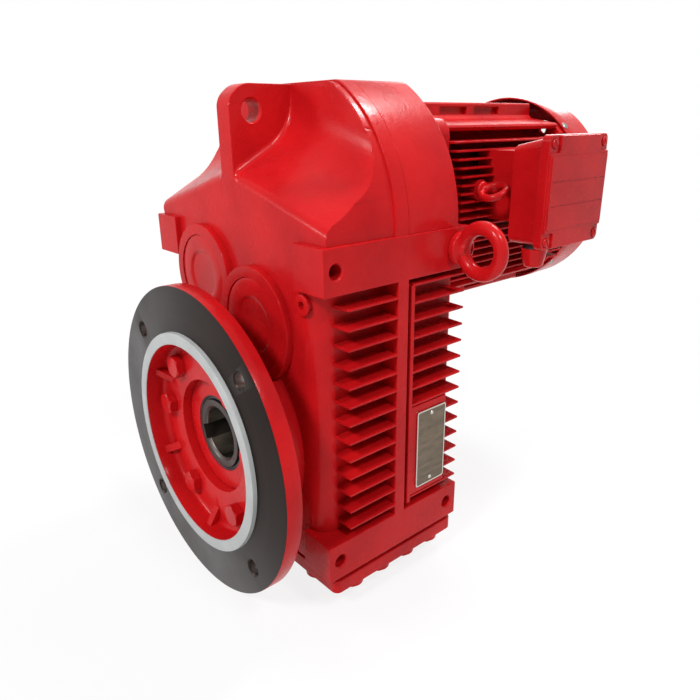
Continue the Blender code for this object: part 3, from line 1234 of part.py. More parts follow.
def build_rotor():
    """Rotor shaft, core, fan and motor pinion."""
    seat = FRAME_FRONT_Y - GAP - MOTOR_BEARING_WIDTH - 0.001
    rear_seat = FRAME_REAR_Y + GAP - 0.002
    pinion_low, pinion_high = INPUT_STAGE_Y
    core_low, core_high = ROTOR_CORE_Y
    seats = stepped([(PINION_BORE_RADIUS, pinion_low - 0.002, pinion_high + 0.002),
                     (ROTOR_SHAFT_RADIUS, pinion_high + 0.002, seat - 0.002),
                     (MOTOR_SEAT_RADIUS, seat - 0.002, seat + MOTOR_BEARING_WIDTH + 0.004),
                     (ROTOR_CORE_SEAT, seat + MOTOR_BEARING_WIDTH + 0.004, core_high + 0.012),
                     (MOTOR_SEAT_RADIUS, core_high + 0.012, rear_seat + MOTOR_BEARING_WIDTH - 0.0005),
                     (FAN_SEAT_RADIUS, rear_seat + MOTOR_BEARING_WIDTH - 0.0005, FAN_Y[1] + 0.004)])
    turned("rotor_shaft", seats, STEEL, ROTOR_EMPTY, along_y(), BEARING_STEPS)
    ring("rotor_core", ROTOR_CORE_RADIUS, ROTOR_CORE_SEAT + GAP, core_low, core_high, DARK_STEEL, ROTOR_EMPTY,
         along_y())
    teeth = tooth_outline(INPUT_MODULE, INPUT_PINION_TEETH, PHASES["input"][0])
    bore = circle(PINION_BORE_RADIUS + GAP, 24)
    plate("motor_pinion", [teeth, bore], "Y", pinion_low - 0.001, pinion_high + 0.001, STEEL, ROTOR_EMPTY)
    low, high = FAN_Y
    hub = FAN_SEAT_RADIUS + 0.012
    profile = [(FAN_SEAT_RADIUS + GAP, low), (hub, low), (hub, high - 0.006), (FAN_RADIUS - 0.030, high - 0.006),
               (FAN_RADIUS - 0.030, high - 0.0035), (hub, high - 0.0035), (hub, high), (FAN_SEAT_RADIUS + GAP, high)]
    fan = turned("fan", profile, PLASTIC, ROTOR_EMPTY, along_y(), 32)
    blades = []
    for k in range(FAN_BLADES):
        blade = box("fan_blade", (hub - 0.003, low, -FAN_BLADE_THICKNESS / 2),
                    (FAN_RADIUS, high - 0.004, FAN_BLADE_THICKNESS / 2))
        blade.matrix_world = Matrix.Rotation(math.tau * k / FAN_BLADES, 4, "Y")
        blades.append(blade)
    boolean(fan, merge_meshes("fan_blades", blades), "UNION")


def build_fan_cover():
    """Fan cover with an open rim and a slotted rear face."""
    low, high = FAN_COVER_Y
    outer = FAN_COVER_RADIUS
    wall = FAN_COVER_WALL
    corner = FAN_COVER_CORNER
    outside = [(outer, low)] + arc((outer - corner, high - corner), corner, 0, 90, 3) + [(0.0, high)]
    inside = [(0.0, high - wall)] + arc((outer - corner, high - corner), corner - wall, 90, 0, 2)
    inside += [(outer - wall, low)]
    place = along_y(*MOTOR_AXIS)
    cover = turned("fan_cover", outside + inside, RED, CASE_EMPTY, place, LARGE_STEPS)
    slots = []
    for k in range(FAN_COVER_SLOTS):
        half = FAN_COVER_SLOT_WIDTH / 2
        slot = box("air_slot", (FAN_COVER_SLOT_RADII[0], high - 0.010, -half),
                   (FAN_COVER_SLOT_RADII[1], high + 0.004, half))
        slot.matrix_world = Matrix.Translation((MOTOR_AXIS.x, 0.0, MOTOR_AXIS.y)) @ Matrix.Rotation(
            math.tau * k / FAN_COVER_SLOTS, 4, "Y")
        slots.append(slot)
    boolean(cover, merge_meshes("air_slots", slots))


def lid_outline(margin):
    """Outline of the terminal cover in (y, z), margin outside the box."""
    (y0, y1), (z0, z1) = BOX_Y, BOX_Z
    m = margin
    r = BOX_CORNER
    return rounded([(y0 - m, z0 - m, r), (y1 + m, z0 - m, r), (y1 + m, z1 + m, r), (y0 - m, z1 + m, r)], 3)


def build_terminal_box():
    """Terminal box, gasket, cover, terminal block and cable plug."""
    (y0, y1), (z0, z1) = BOX_Y, BOX_Z
    shell = plate("terminal_box", [lid_outline(0.0)], "X", BOX_SEAT_X, BOX_LID_X, RED, CASE_EMPTY)
    w = BOX_WALL
    room = box("box_room", (BOX_SEAT_X + w, y0 + w, z0 + w), (BOX_LID_X + 0.01, y1 - w, z1 - w))
    boolean(shell, room)
    window = box("box_window", (BOX_SEAT_X - 0.01, PEDESTAL_Y[0] + 0.016, PEDESTAL_Z[0] + 0.016),
                 (BOX_SEAT_X + w + 0.01, PEDESTAL_Y[1] - 0.016, PEDESTAL_Z[1] - 0.016))
    boolean(shell, window)
    plug_x = BOX_SEAT_X + CABLE_PLUG_OFFSET
    hole = cylinder("cable_hole", CABLE_PLUG_RADIUS - 0.004 + GAP, z0 - 0.01, z0 + w + 0.01,
                    place=Matrix.Translation((plug_x, CABLE_PLUG_Y, 0.0)), steps=24)
    boolean(shell, hole)
    gasket_low = BOX_LID_X + GAP
    gasket_high = gasket_low + BOX_GASKET
    inner = [(y0 + w, z0 + w), (y1 - w, z0 + w), (y1 - w, z1 - w), (y0 + w, z1 - w)]
    plate("terminal_gasket", [lid_outline(-0.0008), inner], "X", gasket_low, gasket_high, GASKET, CASE_EMPTY)
    lid_low = gasket_high + GAP
    lid_high = lid_low + LID_THICKNESS
    lid = plate("terminal_cover", [lid_outline(LID_MARGIN)], "X", lid_low, lid_high, RED, CASE_EMPTY)
    corners = []
    for ya, yb in ((y0 - LID_MARGIN - 0.01, y0 - LID_MARGIN + LID_EAR), (y1 + LID_MARGIN - LID_EAR, y1 + LID_MARGIN + 0.01)):
        for za, zb in ((z0 - LID_MARGIN - 0.01, z0 - LID_MARGIN + LID_EAR),
                       (z1 + LID_MARGIN - LID_EAR, z1 + LID_MARGIN + 0.01)):
            corners.append(((lid_high - LID_STEP, ya, za), (lid_high + 0.01, yb, zb)))
    boolean(lid, add("lid_corners", box_mesh("lid_corners", corners)))
    hollow = box("lid_room", (lid_low - 0.01, y0 + w, z0 + w), (lid_high - 0.004, y1 - w, z1 - w))
    boolean(lid, hollow)
    size = TERMINAL_BLOCK_SIZE
    base = BOX_SEAT_X + w + GAP
    mid_y, mid_z = sum(BOX_Y) / 2 + 0.006, z1 - w - 0.004 - size[2] / 2
    low = (base, mid_y - size[1] / 2, mid_z - size[2] / 2)
    high = (base + size[0], mid_y + size[1] / 2, mid_z + size[2] / 2)
    block = box("terminal_block", low, high, PLASTIC, CASE_EMPTY)
    studs = [cylinder("stud", 0.0025, base + size[0] - 0.002, base + size[0] + 0.008,
                      place=along_x(0.0, mid_y + sy * size[1] / 3, mid_z + sz * size[2] / 4), steps=6)
             for sy in (-1, 0, 1) for sz in (-1, 1)]
    boolean(block, merge_meshes("studs", studs), "UNION")
    top = z0 - GAP
    radius = CABLE_PLUG_RADIUS
    length = CABLE_PLUG_LENGTH
    profile = [(0.0, top - length), (radius - 0.006, top - length), (radius - 0.002, top - length + 0.004),
               (radius, top), (radius - 0.004, top), (radius - 0.004, top + w + 0.004), (0.0, top + w + 0.004)]
    turned("cable_plug", profile, RED, CASE_EMPTY, Matrix.Translation((plug_x, CABLE_PLUG_Y, 0.0)), 24)


def eyebolt(name, seat_x, y, z, rings, collar, height, thread, thread_length, tilt):
    """Lifting eyebolt along +X: ring, collar and thread in one forging."""
    outer, inner = rings
    wire = (outer - inner) / 2
    middle = height - outer
    thick = wire * 0.9
    profile = [(0.0, -thread_length), (thread, -thread_length), (thread, GAP), (collar, GAP), (collar, thick),
               (wire * 0.95, thick + wire * 0.6), (wire * 0.8, middle - inner - wire * 0.5), (0.0, middle - inner - wire * 0.5)]
    place = along_x(seat_x, y, z)
    bolt = turned(name, profile, RED, CASE_EMPTY, place, PLUG_STEPS)
    bpy.ops.mesh.primitive_torus_add(major_segments=20, minor_segments=8, major_radius=(outer + inner) / 2,
                                     minor_radius=wire)
    loop = bpy.context.object
    mesh = loop.data
    bpy.data.objects.remove(loop, do_unlink=True)
    mesh.transform(Matrix.Rotation(math.radians(90), 4, "X"))
    mesh.transform(Matrix.Translation((0.0, 0.0, middle)))
    turn = Matrix.Rotation(math.radians(tilt), 4, "Z")
    made = add(name + "_loop", mesh, place=place @ turn)
    boolean(bolt, made, "UNION")


def build_eyebolts():
    """Lifting eyebolts of the case and of the motor."""
    eyebolt("gearcase_eyebolt", CASE_HALF_WIDTH, PAD_HOLE_Y[1], PAD_HOLE_Z[0], CASE_EYE_RING, CASE_EYE_COLLAR_RADIUS,
            CASE_EYE_HEIGHT, CASE_EYE_THREAD_RADIUS, CASE_EYE_THREAD_LENGTH, 0)
    eyebolt("motor_eyebolt", FRAME_HALF_WIDTH + EYE_PAD_RISE, MOTOR_EYE_Y, MOTOR_EYE_Z, MOTOR_EYE_RING, MOTOR_EYE_COLLAR_RADIUS,
            MOTOR_EYE_HEIGHT, MOTOR_EYE_THREAD_RADIUS, MOTOR_EYE_THREAD_LENGTH, 90 + MOTOR_EYE_TILT)


build_gearcase()
build_flange()
build_output()
build_intermediate()
build_plugs()
build_bottom()
build_nameplate()
build_adapter()
build_endshields()
build_frame()
build_rotor()
build_fan_cover()
build_terminal_box()
build_eyebolts()
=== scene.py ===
"""Looks of a parallel shaft gear motor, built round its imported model.

The origin is the centre of the output flange's mounting face. The output faces -Y, +Z is up and the
terminal box is at +X. All sizes are metres.
"""
import json
import math

import bmesh
import bpy
from bpy.props import FloatProperty, FloatVectorProperty, IntProperty, PointerProperty
from mathutils import Matrix, Vector
from mathutils.bvhtree import BVHTree


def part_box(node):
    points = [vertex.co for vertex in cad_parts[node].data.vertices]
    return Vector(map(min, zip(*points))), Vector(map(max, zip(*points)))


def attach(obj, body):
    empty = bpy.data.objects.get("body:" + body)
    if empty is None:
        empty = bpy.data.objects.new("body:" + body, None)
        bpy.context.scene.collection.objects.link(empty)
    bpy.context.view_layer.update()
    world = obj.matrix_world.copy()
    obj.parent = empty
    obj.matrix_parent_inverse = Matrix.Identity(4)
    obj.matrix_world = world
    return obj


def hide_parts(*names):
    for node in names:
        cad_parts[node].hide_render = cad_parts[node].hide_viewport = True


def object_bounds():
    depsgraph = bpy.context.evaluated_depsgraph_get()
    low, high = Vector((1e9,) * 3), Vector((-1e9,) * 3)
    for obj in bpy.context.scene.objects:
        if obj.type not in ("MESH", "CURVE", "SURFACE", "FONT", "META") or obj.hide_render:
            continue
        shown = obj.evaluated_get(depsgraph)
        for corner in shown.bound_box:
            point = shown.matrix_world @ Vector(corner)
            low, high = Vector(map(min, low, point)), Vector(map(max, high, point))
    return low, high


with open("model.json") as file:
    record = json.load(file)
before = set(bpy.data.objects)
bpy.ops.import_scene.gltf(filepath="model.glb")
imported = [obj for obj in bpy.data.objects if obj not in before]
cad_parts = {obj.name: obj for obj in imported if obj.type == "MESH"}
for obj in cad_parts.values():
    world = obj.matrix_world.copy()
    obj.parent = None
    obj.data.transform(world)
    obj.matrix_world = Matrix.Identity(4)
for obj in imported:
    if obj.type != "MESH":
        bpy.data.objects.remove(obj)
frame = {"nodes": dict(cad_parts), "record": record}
NODES = frame["nodes"]
CAD_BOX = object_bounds()

bl_info = {
    "name": "Parallel shaft gear motor looks",
    "version": (1, 0, 0),
    "blender": (4, 5, 0),
    "location": "View3D > Sidebar > Gear motor",
    "description": "Dresses the packed gear motor with finished castings, turned pieces and a studio",
    "category": "Object",
}

PART_MIDDLE = (0.0, 0.22, 0.10)
OUTPUT_AXIS = (0.0, 0.0)
LOWER_AXIS = (0.042, 0.133552)
UPPER_AXIS = (-0.059654, 0.170043)
MOTOR_AXIS = (0.0, 0.2313)


class PaintSettings(bpy.types.PropertyGroup):
    """Colours and grain of the finishes."""

    red: FloatVectorProperty(name="Enamel", description="Colour of the red enamel", subtype="COLOR", size=3,
                             min=0.0, max=1.0, default=(0.55, 0.0085, 0.0105))
    deep_red: FloatVectorProperty(name="Deep enamel", description="Darker tone drifting through the enamel",
                                  subtype="COLOR", size=3, min=0.0, max=1.0, default=(0.44, 0.0055, 0.008))
    # Flange steel is set very dark: this colour is a painted dark reflection of the surroundings, on top of
    # the steel's own tone.
    flange_steel_dark_reflection: FloatVectorProperty(name="Flange steel", description="Oiled machined face of the flange",
                                      subtype="COLOR", size=3, min=0.0, max=1.0,
                                      default=(0.030, 0.020, 0.017))
    pilot_grey: FloatVectorProperty(name="Pilot grey", description="Primer on the pilot ring",
                                    subtype="COLOR", size=3, min=0.0, max=1.0, default=(0.36, 0.37, 0.37))
    plate_bronze: FloatVectorProperty(name="Plate", description="Bare plate on the flank", subtype="COLOR",
                                      size=3, min=0.0, max=1.0, default=(0.13, 0.10, 0.072))
    peel_height: FloatProperty(name="Peel height", description="Height of the enamel's orange peel",
                               default=0.00035, min=0.0, max=0.002, unit="LENGTH")


class CastingSettings(bpy.types.PropertyGroup):
    """Edge rounding of castings and steps of turned pieces."""

    edge_radius: FloatProperty(name="Edge radius", description="Rounding of the castings' edges",
                               default=0.0010, min=0.0002, max=0.004, unit="LENGTH")
    turned_steps: IntProperty(name="Turned steps", description="Steps round a large turned piece",
                              default=128, min=32, max=256)
    small_steps: IntProperty(name="Small steps", description="Steps round a small turned piece", default=48,
                             min=16, max=128)


class StageSettings(bpy.types.PropertyGroup):
    """Camera, lamps and floor."""

    camera_place: FloatVectorProperty(name="Camera place", description="Where the camera stands",
                                      subtype="TRANSLATION", size=3, unit="LENGTH",
                                      default=(0.5846, -0.2750, 0.3334))
    azimuth: FloatProperty(name="Azimuth", description="Turn of the view about Z", subtype="ANGLE",
                           default=math.radians(49.249))
    elevation: FloatProperty(name="Elevation", description="How far the view looks down", subtype="ANGLE",
                             default=math.radians(20.018))
    roll: FloatProperty(name="Roll", description="Turn of the picture", subtype="ANGLE",
                        default=math.radians(-0.599))
    focal_length: FloatProperty(name="Focal length", description="Lens on a 36 mm sensor", default=32.37,
                                min=10.0, max=200.0, subtype="DISTANCE_CAMERA", unit="CAMERA")
    floor_radius: FloatProperty(name="Floor", description="Radius of the floor", default=30.0, min=2.0,
                                unit="LENGTH")
    floor_white: FloatProperty(name="Floor white", description="Share of plain white that the floor shows",
                               default=0.84, min=0.0, max=1.0, subtype="FACTOR")
    world_light: FloatProperty(name="World light", description="Brightness of the light from all sides",
                               default=0.06, min=0.0, max=2.0)


SETTINGS = (("gear_motor_paint", PaintSettings), ("gear_motor_castings", CastingSettings),
            ("gear_motor_stage", StageSettings))
FINISHES = {}
HALF_TURN = Matrix.Rotation(math.pi, 4, "X")
SOFTEN_TRIES = 6
LEAST_ROOM = 2.1
FAULT_REACH = 3.0
DOUBLES = 0.000002
SCREW_CIRCLE = 0.091
SCREW_HOLE = 0.0081
HOLE_CIRCLE = 0.150
FLANGE_SCREWS = (8, 49, 131, 172, 238, 302)
FLANGE_WEDGES = (28, 152, 208, 270, 332)


def along_y(x=0.0, z=0.0, y=0.0):
    """Place that turns local Z to world +Y."""
    return Matrix.Translation((x, y, z)) @ Matrix.Rotation(math.radians(-90), 4, "X")


def along_x(x=0.0, y=0.0, z=0.0):
    """Place that turns local Z to world +X."""
    return Matrix.Translation((x, y, z)) @ Matrix.Rotation(math.radians(90), 4, "Y")


def on_axis(axis, y=0.0):
    """Place on one of the shaft axes, turned to +Y."""
    return along_y(axis[0], axis[1], y)


def circle_spot(radius, degrees):
    """X and Z of a point on a circle round the output, counted upwards from +X."""
    angle = math.radians(degrees)
    return radius * math.cos(angle), radius * math.sin(angle)


class Recipe:
    """A procedural material while its nodes are laid."""

    def __init__(self, name, colour, roughness, metallic=0.0):
        self.made = bpy.data.materials.new(name)
        self.made.use_nodes = True
        self.made.diffuse_color = (*colour, 1.0)
        self.nodes = self.made.node_tree.nodes
        self.links = self.made.node_tree.links
        self.shader = self.nodes["Principled BSDF"]
        self.shader.inputs["Base Color"].default_value = (*colour, 1.0)
        self.shader.inputs["Roughness"].default_value = roughness
        self.shader.inputs["Metallic"].default_value = metallic
        self.place = self.nodes.new("ShaderNodeTexCoord").outputs["Object"]
        FINISHES[name] = self.made

    def set(self, socket, value):
        """Set a shader socket that is the same all over."""
        self.shader.inputs[socket].default_value = value
        return self

    def math(self, operation, first, second=None):
        """A Math node on sockets or numbers."""
        step = self.nodes.new("ShaderNodeMath")
        step.operation = operation
        for socket, value in zip(step.inputs, (first, second)):
            self.feed(socket, value)
        return step.outputs[0]

    def feed(self, socket, value):
        """Link a socket, or set it where the value is plain."""
        if value is None:
            return
        if isinstance(value, bpy.types.NodeSocket):
            self.links.new(value, socket)
        else:
            socket.default_value = value

    def noise(self, scale, detail=2.0, roughness=0.5, place=None, stretch=None):
        """A noise pattern in the piece's own space, stretched on request."""
        source = place or self.place
        if stretch:
            mapping = self.nodes.new("ShaderNodeMapping")
            mapping.inputs["Scale"].default_value = stretch
            self.links.new(source, mapping.inputs["Vector"])
            source = mapping.outputs["Vector"]
        step = self.nodes.new("ShaderNodeTexNoise")
        step.inputs["Scale"].default_value = scale
        step.inputs["Detail"].default_value = detail
        step.inputs["Roughness"].default_value = roughness
        self.links.new(source, step.inputs["Vector"])
        return step.outputs["Fac"]

    def radius(self, axis, across="XZ"):
        """Distance from an axis of the object, as a socket."""
        split = self.nodes.new("ShaderNodeSeparateXYZ")
        self.links.new(self.place, split.inputs[0])
        parts = []
        for letter, centre in zip(across, axis):
            offset = self.math("SUBTRACT", split.outputs[letter], centre)
            parts.append(self.math("MULTIPLY", offset, offset))
        return self.math("SQRT", self.math("ADD", parts[0], parts[1]))

    def along(self, letter):
        """One coordinate as a socket."""
        split = self.nodes.new("ShaderNodeSeparateXYZ")
        self.links.new(self.place, split.inputs[0])
        return split.outputs[letter]

    def line_vector(self, distance):
        """A vector that changes only with a distance."""
        joined = self.nodes.new("ShaderNodeCombineXYZ")
        self.links.new(distance, joined.inputs["X"])
        return joined.outputs[0]

    def ramp(self, factor, low, high, start=0.35, stop=0.65):
        """Blend of two colours by a pattern."""
        step = self.nodes.new("ShaderNodeValToRGB")
        step.color_ramp.elements[0].position = start
        step.color_ramp.elements[1].position = stop
        step.color_ramp.elements[0].color = (*low, 1.0)
        step.color_ramp.elements[1].color = (*high, 1.0)
        self.links.new(factor, step.inputs["Fac"])
        return step.outputs["Color"]

    def span(self, factor, low, high, start=0.3, stop=0.7):
        """Numbers between low and high by a pattern."""
        step = self.nodes.new("ShaderNodeMapRange")
        for name, value in (("From Min", start), ("From Max", stop), ("To Min", low), ("To Max", high)):
            step.inputs[name].default_value = value
        self.links.new(factor, step.inputs["Value"])
        return step.outputs["Result"]

    def colour(self, socket):
        """Drive the base colour."""
        self.links.new(socket, self.shader.inputs["Base Color"])
        return self

    def gloss(self, socket):
        """Drive the roughness."""
        self.links.new(socket, self.shader.inputs["Roughness"])
        return self

    def relief(self, layers):
        """Stack bumps of (pattern, distance, strength)."""
        normal = None
        for pattern, distance, strength in layers:
            step = self.nodes.new("ShaderNodeBump")
            step.inputs["Distance"].default_value = distance
            step.inputs["Strength"].default_value = strength
            self.links.new(pattern, step.inputs["Height"])
            if normal is not None:
                self.links.new(normal, step.inputs["Normal"])
            normal = step.outputs["Normal"]
        self.links.new(normal, self.shader.inputs["Normal"])
        return self


def lay_enamel(paint):
    """Glossy red enamel over cast iron, with orange peel and a slow drift of tone."""
    made = Recipe("red_enamel", tuple(paint.red), 0.30)
    drift = made.noise(14.0, 3.0)
    made.colour(made.ramp(drift, tuple(paint.deep_red), tuple(paint.red)))
    peel = made.noise(520.0, 2.0, 0.55)
    cast = made.noise(150.0, 3.0, 0.5)
    made.gloss(made.span(made.noise(60.0, 3.0), 0.24, 0.36))
    made.relief(((cast, paint.peel_height * 2.2, 0.35), (peel, paint.peel_height, 0.40)))
    made.set("Coat Weight", 0.10)
    made.set("Coat Roughness", 0.12)
    made.set("Specular IOR Level", 0.08)
    smooth = Recipe("red_enamel_smooth", tuple(paint.red), 0.26)
    smooth.colour(smooth.ramp(smooth.noise(18.0, 2.0), tuple(paint.deep_red), tuple(paint.red)))
    smooth.gloss(smooth.span(smooth.noise(90.0, 3.0), 0.20, 0.31))
    smooth.relief(((smooth.noise(420.0, 2.0), paint.peel_height * 0.7, 0.30),))
    smooth.set("Coat Weight", 0.10)
    smooth.set("Coat Roughness", 0.08)
    smooth.set("Specular IOR Level", 0.10)


def lay_steels(paint):
    """Machined and turned steels with their tool marks; the flange face's dark colour is a painted dark
    reflection.
    """
    # The face's dark base colour is painted reflection of dark surroundings; the noise patches between the
    # two tones are random tone.
    face = Recipe("machined_face", tuple(paint.flange_steel_dark_reflection), 0.34, 0.9)
    radius = face.radius(OUTPUT_AXIS)
    rings = face.noise(900.0, 3.0, 0.7, face.line_vector(radius))
    broad = face.noise(60.0, 2.0, 0.5, face.line_vector(radius))
    stain = face.noise(9.0, 4.0, 0.6)
    dark = tuple(0.55 * part for part in paint.flange_steel_dark_reflection)
    blend = face.math("ADD", face.math("MULTIPLY", broad, 0.5), face.math("MULTIPLY", stain, 0.5))
    face.colour(face.ramp(blend, dark, tuple(paint.flange_steel_dark_reflection)))
    face.gloss(face.span(stain, 0.26, 0.42))
    face.relief(((rings, 0.00004, 0.5),))
    face.set("Anisotropic", 0.4)
    steel = Recipe("bright_steel", (0.56, 0.53, 0.48), 0.22, 1.0)
    marks = steel.noise(1400.0, 2.0, 0.6, steel.line_vector(steel.along("Y")))
    steel.gloss(steel.span(steel.noise(40.0, 3.0), 0.14, 0.30))
    steel.relief(((marks, 0.00003, 0.5),))
    cut = Recipe("machined_steel", (0.40, 0.38, 0.36), 0.32, 1.0)
    cut.gloss(cut.span(cut.noise(70.0, 3.0), 0.24, 0.42))
    cut.colour(cut.ramp(cut.noise(25.0, 3.0), (0.30, 0.28, 0.26), (0.44, 0.42, 0.40)))
    cut.relief(((cut.noise(1200.0, 2.0, 0.5, cut.line_vector(cut.along("Y"))), 0.00003, 0.4),))
    dark_steel = Recipe("dark_steel", (0.08, 0.07, 0.065), 0.38, 1.0)
    dark_steel.gloss(dark_steel.span(dark_steel.noise(80.0, 3.0), 0.28, 0.48))
    dark_steel.relief(((dark_steel.noise(900.0, 2.0, 0.5, dark_steel.line_vector(dark_steel.along("Y"))),
                        0.00004, 0.4),))


def lay_others(paint):
    """Primer, rubber, gasket, plastic, windings and the plate."""
    grey = Recipe("pilot_primer", tuple(paint.pilot_grey), 0.46)
    light = tuple(1.15 * part for part in paint.pilot_grey)
    grey.colour(grey.ramp(grey.noise(30.0, 4.0), tuple(paint.pilot_grey), light))
    grey.relief(((grey.noise(600.0, 2.0), 0.0002, 0.3),))
    rubber = Recipe("black_rubber", (0.012, 0.013, 0.016), 0.5)
    rubber.gloss(rubber.span(rubber.noise(200.0, 2.0), 0.38, 0.60))
    rubber.relief(((rubber.noise(1500.0, 2.0), 0.0001, 0.3),))
    fibre = Recipe("gasket_fibre", (0.030, 0.028, 0.027), 0.85)
    fibre.colour(fibre.ramp(fibre.noise(700.0, 3.0), (0.02, 0.02, 0.02), (0.05, 0.045, 0.04)))
    fibre.relief(((fibre.noise(1200.0, 3.0), 0.0002, 0.5),))
    plastic = Recipe("moulded_plastic", (0.03, 0.03, 0.032), 0.5)
    plastic.relief(((plastic.noise(900.0, 2.0), 0.0001, 0.3),))
    plastic.gloss(plastic.span(plastic.noise(50.0, 2.0), 0.42, 0.58))
    core = Recipe("wound_core", (0.30, 0.14, 0.08), 0.45, 0.6)
    layers = core.noise(1000.0, 2.0, 0.5, core.line_vector(core.along("Y")))
    core.colour(core.ramp(layers, (0.20, 0.09, 0.05), (0.42, 0.20, 0.10)))
    core.relief(((layers, 0.0003, 0.5),))
    plate = Recipe("plate_metal", tuple(paint.plate_bronze), 0.36, 0.85)
    bright = tuple(1.5 * part for part in paint.plate_bronze)
    grain = plate.noise(40.0, 4.0, 0.6, None, (1.0, 1.0, 5.0))
    plate.colour(plate.ramp(grain, tuple(paint.plate_bronze), bright))
    plate.gloss(plate.span(plate.noise(60.0, 3.0), 0.28, 0.46))
    plate.relief(((plate.noise(500.0, 2.0, 0.5, None, (1.0, 1.0, 12.0)), 0.00005, 0.4),))
    floor = Recipe("studio_floor", (0.86, 0.86, 0.86), 0.7)
    floor.colour(floor.ramp(floor.noise(2.0, 2.0), (0.85, 0.85, 0.85), (0.87, 0.87, 0.87)))


def bevel(body, geom, width, segments=2, affect="EDGES", clamp=True):
    """Round edges or corners of a mesh."""
    bmesh.ops.bevel(body, geom=geom, offset=width, offset_type="OFFSET", segments=segments, profile=0.5,
                    affect=affect, clamp_overlap=clamp, material=-1)


def turned(profile, place, steps, closed=True, ease=0.0):
    """Mesh turned round the place's Z from (radius, height) points."""
    body = bmesh.new()
    verts = [body.verts.new(place @ Vector((radius, 0.0, height))) for radius, height in profile]
    for pair in zip(verts, verts[1:]):
        body.edges.new(pair)
    if closed:
        body.edges.new((verts[-1], verts[0]))
    if ease:
        bevel(body, verts if closed else verts[1:-1], ease, 3, "VERTICES")
    axis = place.to_3x3() @ Vector((0.0, 0.0, 1.0))
    bmesh.ops.spin(body, geom=body.verts[:] + body.edges[:], cent=place.translation, axis=axis,
                   angle=math.tau, steps=steps, use_merge=True)
    bmesh.ops.remove_doubles(body, verts=body.verts, dist=DOUBLES)
    bmesh.ops.recalc_face_normals(body, faces=body.faces)
    return body


def solid(profile, place, steps, ease=0.0):
    """Turned solid whose two ends run straight to the axis."""
    ends = [(0.0, profile[0][1]), *profile, (0.0, profile[-1][1])]
    return turned(ends, place, steps, closed=False, ease=ease)


def drum(radius, low, high, place, steps):
    """Plain turned drum used as a cutter or a core."""
    return solid([(radius, low), (radius, high)], place, steps)


def soften(body, width, segments=2, angle=28.0):
    """Round the edges that are sharper than an angle, and leave out any that would fold over."""
    limit = math.radians(angle)
    tree = BVHTree.FromBMesh(body)
    sharp = set()
    for edge in body.edges:
        if len(edge.link_faces) == 2 and edge.calc_face_angle(0.0) >= limit:
            near = [other.calc_length() for vert in edge.verts for other in vert.link_edges]
            if min(near) > LEAST_ROOM * width:
                sharp.add(edge.index)
    for _ in range(SOFTEN_TRIES):
        trial = body.copy()
        trial.edges.ensure_lookup_table()
        bevel(trial, [trial.edges[number] for number in sharp], width, segments, clamp=False)
        faults = fold_places(trial, tree, width)
        if not faults:
            break
        trial.free()
        body.edges.ensure_lookup_table()
        reach = FAULT_REACH * width
        for number in list(sharp):
            ends = [vert.co for vert in body.edges[number].verts]
            if any(near_segment(place, ends, reach) for place in faults):
                sharp.discard(number)
    else:
        return body
    body.free()
    return trial


def near_segment(place, ends, reach):
    """Whether a point lies within reach of a line between two ends."""
    line = ends[1] - ends[0]
    share = max(0.0, min(1.0, (place - ends[0]).dot(line) / max(line.length_squared, 1e-12)))
    return (ends[0] + line * share - place).length < reach


def fold_places(trial, tree, width):
    """Places where a rounded mesh leaves its old surface, turns over or opens."""
    faults = [vert.co.copy() for vert in trial.verts if tree.find_nearest(vert.co)[3] > 1.1 * width]
    for face in trial.faces:
        middle = face.calc_center_median()
        _, normal, _, far = tree.find_nearest(middle)
        if face.calc_area() > 1e-10 and far < 0.2 * width and normal.dot(face.normal) < -0.2:
            faults.append(middle)
    for edge in trial.edges:
        if len(edge.link_faces) != 2:
            faults.append((edge.verts[0].co + edge.verts[1].co) / 2)
    return faults


def node_copy(node):
    """Merged copy of a CAD node's mesh."""
    body = bmesh.new()
    body.from_mesh(NODES[node].data)
    bmesh.ops.remove_doubles(body, verts=body.verts, dist=0.00001)
    bmesh.ops.dissolve_limit(body, angle_limit=math.radians(0.6), verts=body.verts, edges=body.edges)
    return body


def place_piece(name, body, finish, rides="case", replaces=(), sharp=35.0, weigh=False):
    """Make a finished object of a mesh and set it on its body."""
    mesh = bpy.data.meshes.new(name)
    body.to_mesh(mesh)
    body.free()
    stale = mesh.attributes.get("custom_normal")
    if stale is not None:
        mesh.attributes.remove(stale)
    finishes = finish if isinstance(finish, (list, tuple)) else [finish]
    for entry in finishes:
        mesh.materials.append(FINISHES[entry])
    mesh.shade_smooth()
    mesh.set_sharp_from_angle(angle=math.radians(sharp))
    piece = bpy.data.objects.new(name, mesh)
    bpy.context.scene.collection.objects.link(piece)
    if weigh:
        step = piece.modifiers.new("even_normals", "WEIGHTED_NORMAL")
        step.keep_sharp = True
    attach(piece, rides)
    if replaces:
        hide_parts(*replaces)
    return piece


def red_piece(name, body, node=None, finish="red_enamel_smooth", sharp=35.0, weigh=False):
    """Place an enamelled piece of the case, instead of a node where one is named."""
    replaces = (node,) if node else ()
    return place_piece(name, body, finish, replaces=replaces, sharp=sharp, weigh=weigh)


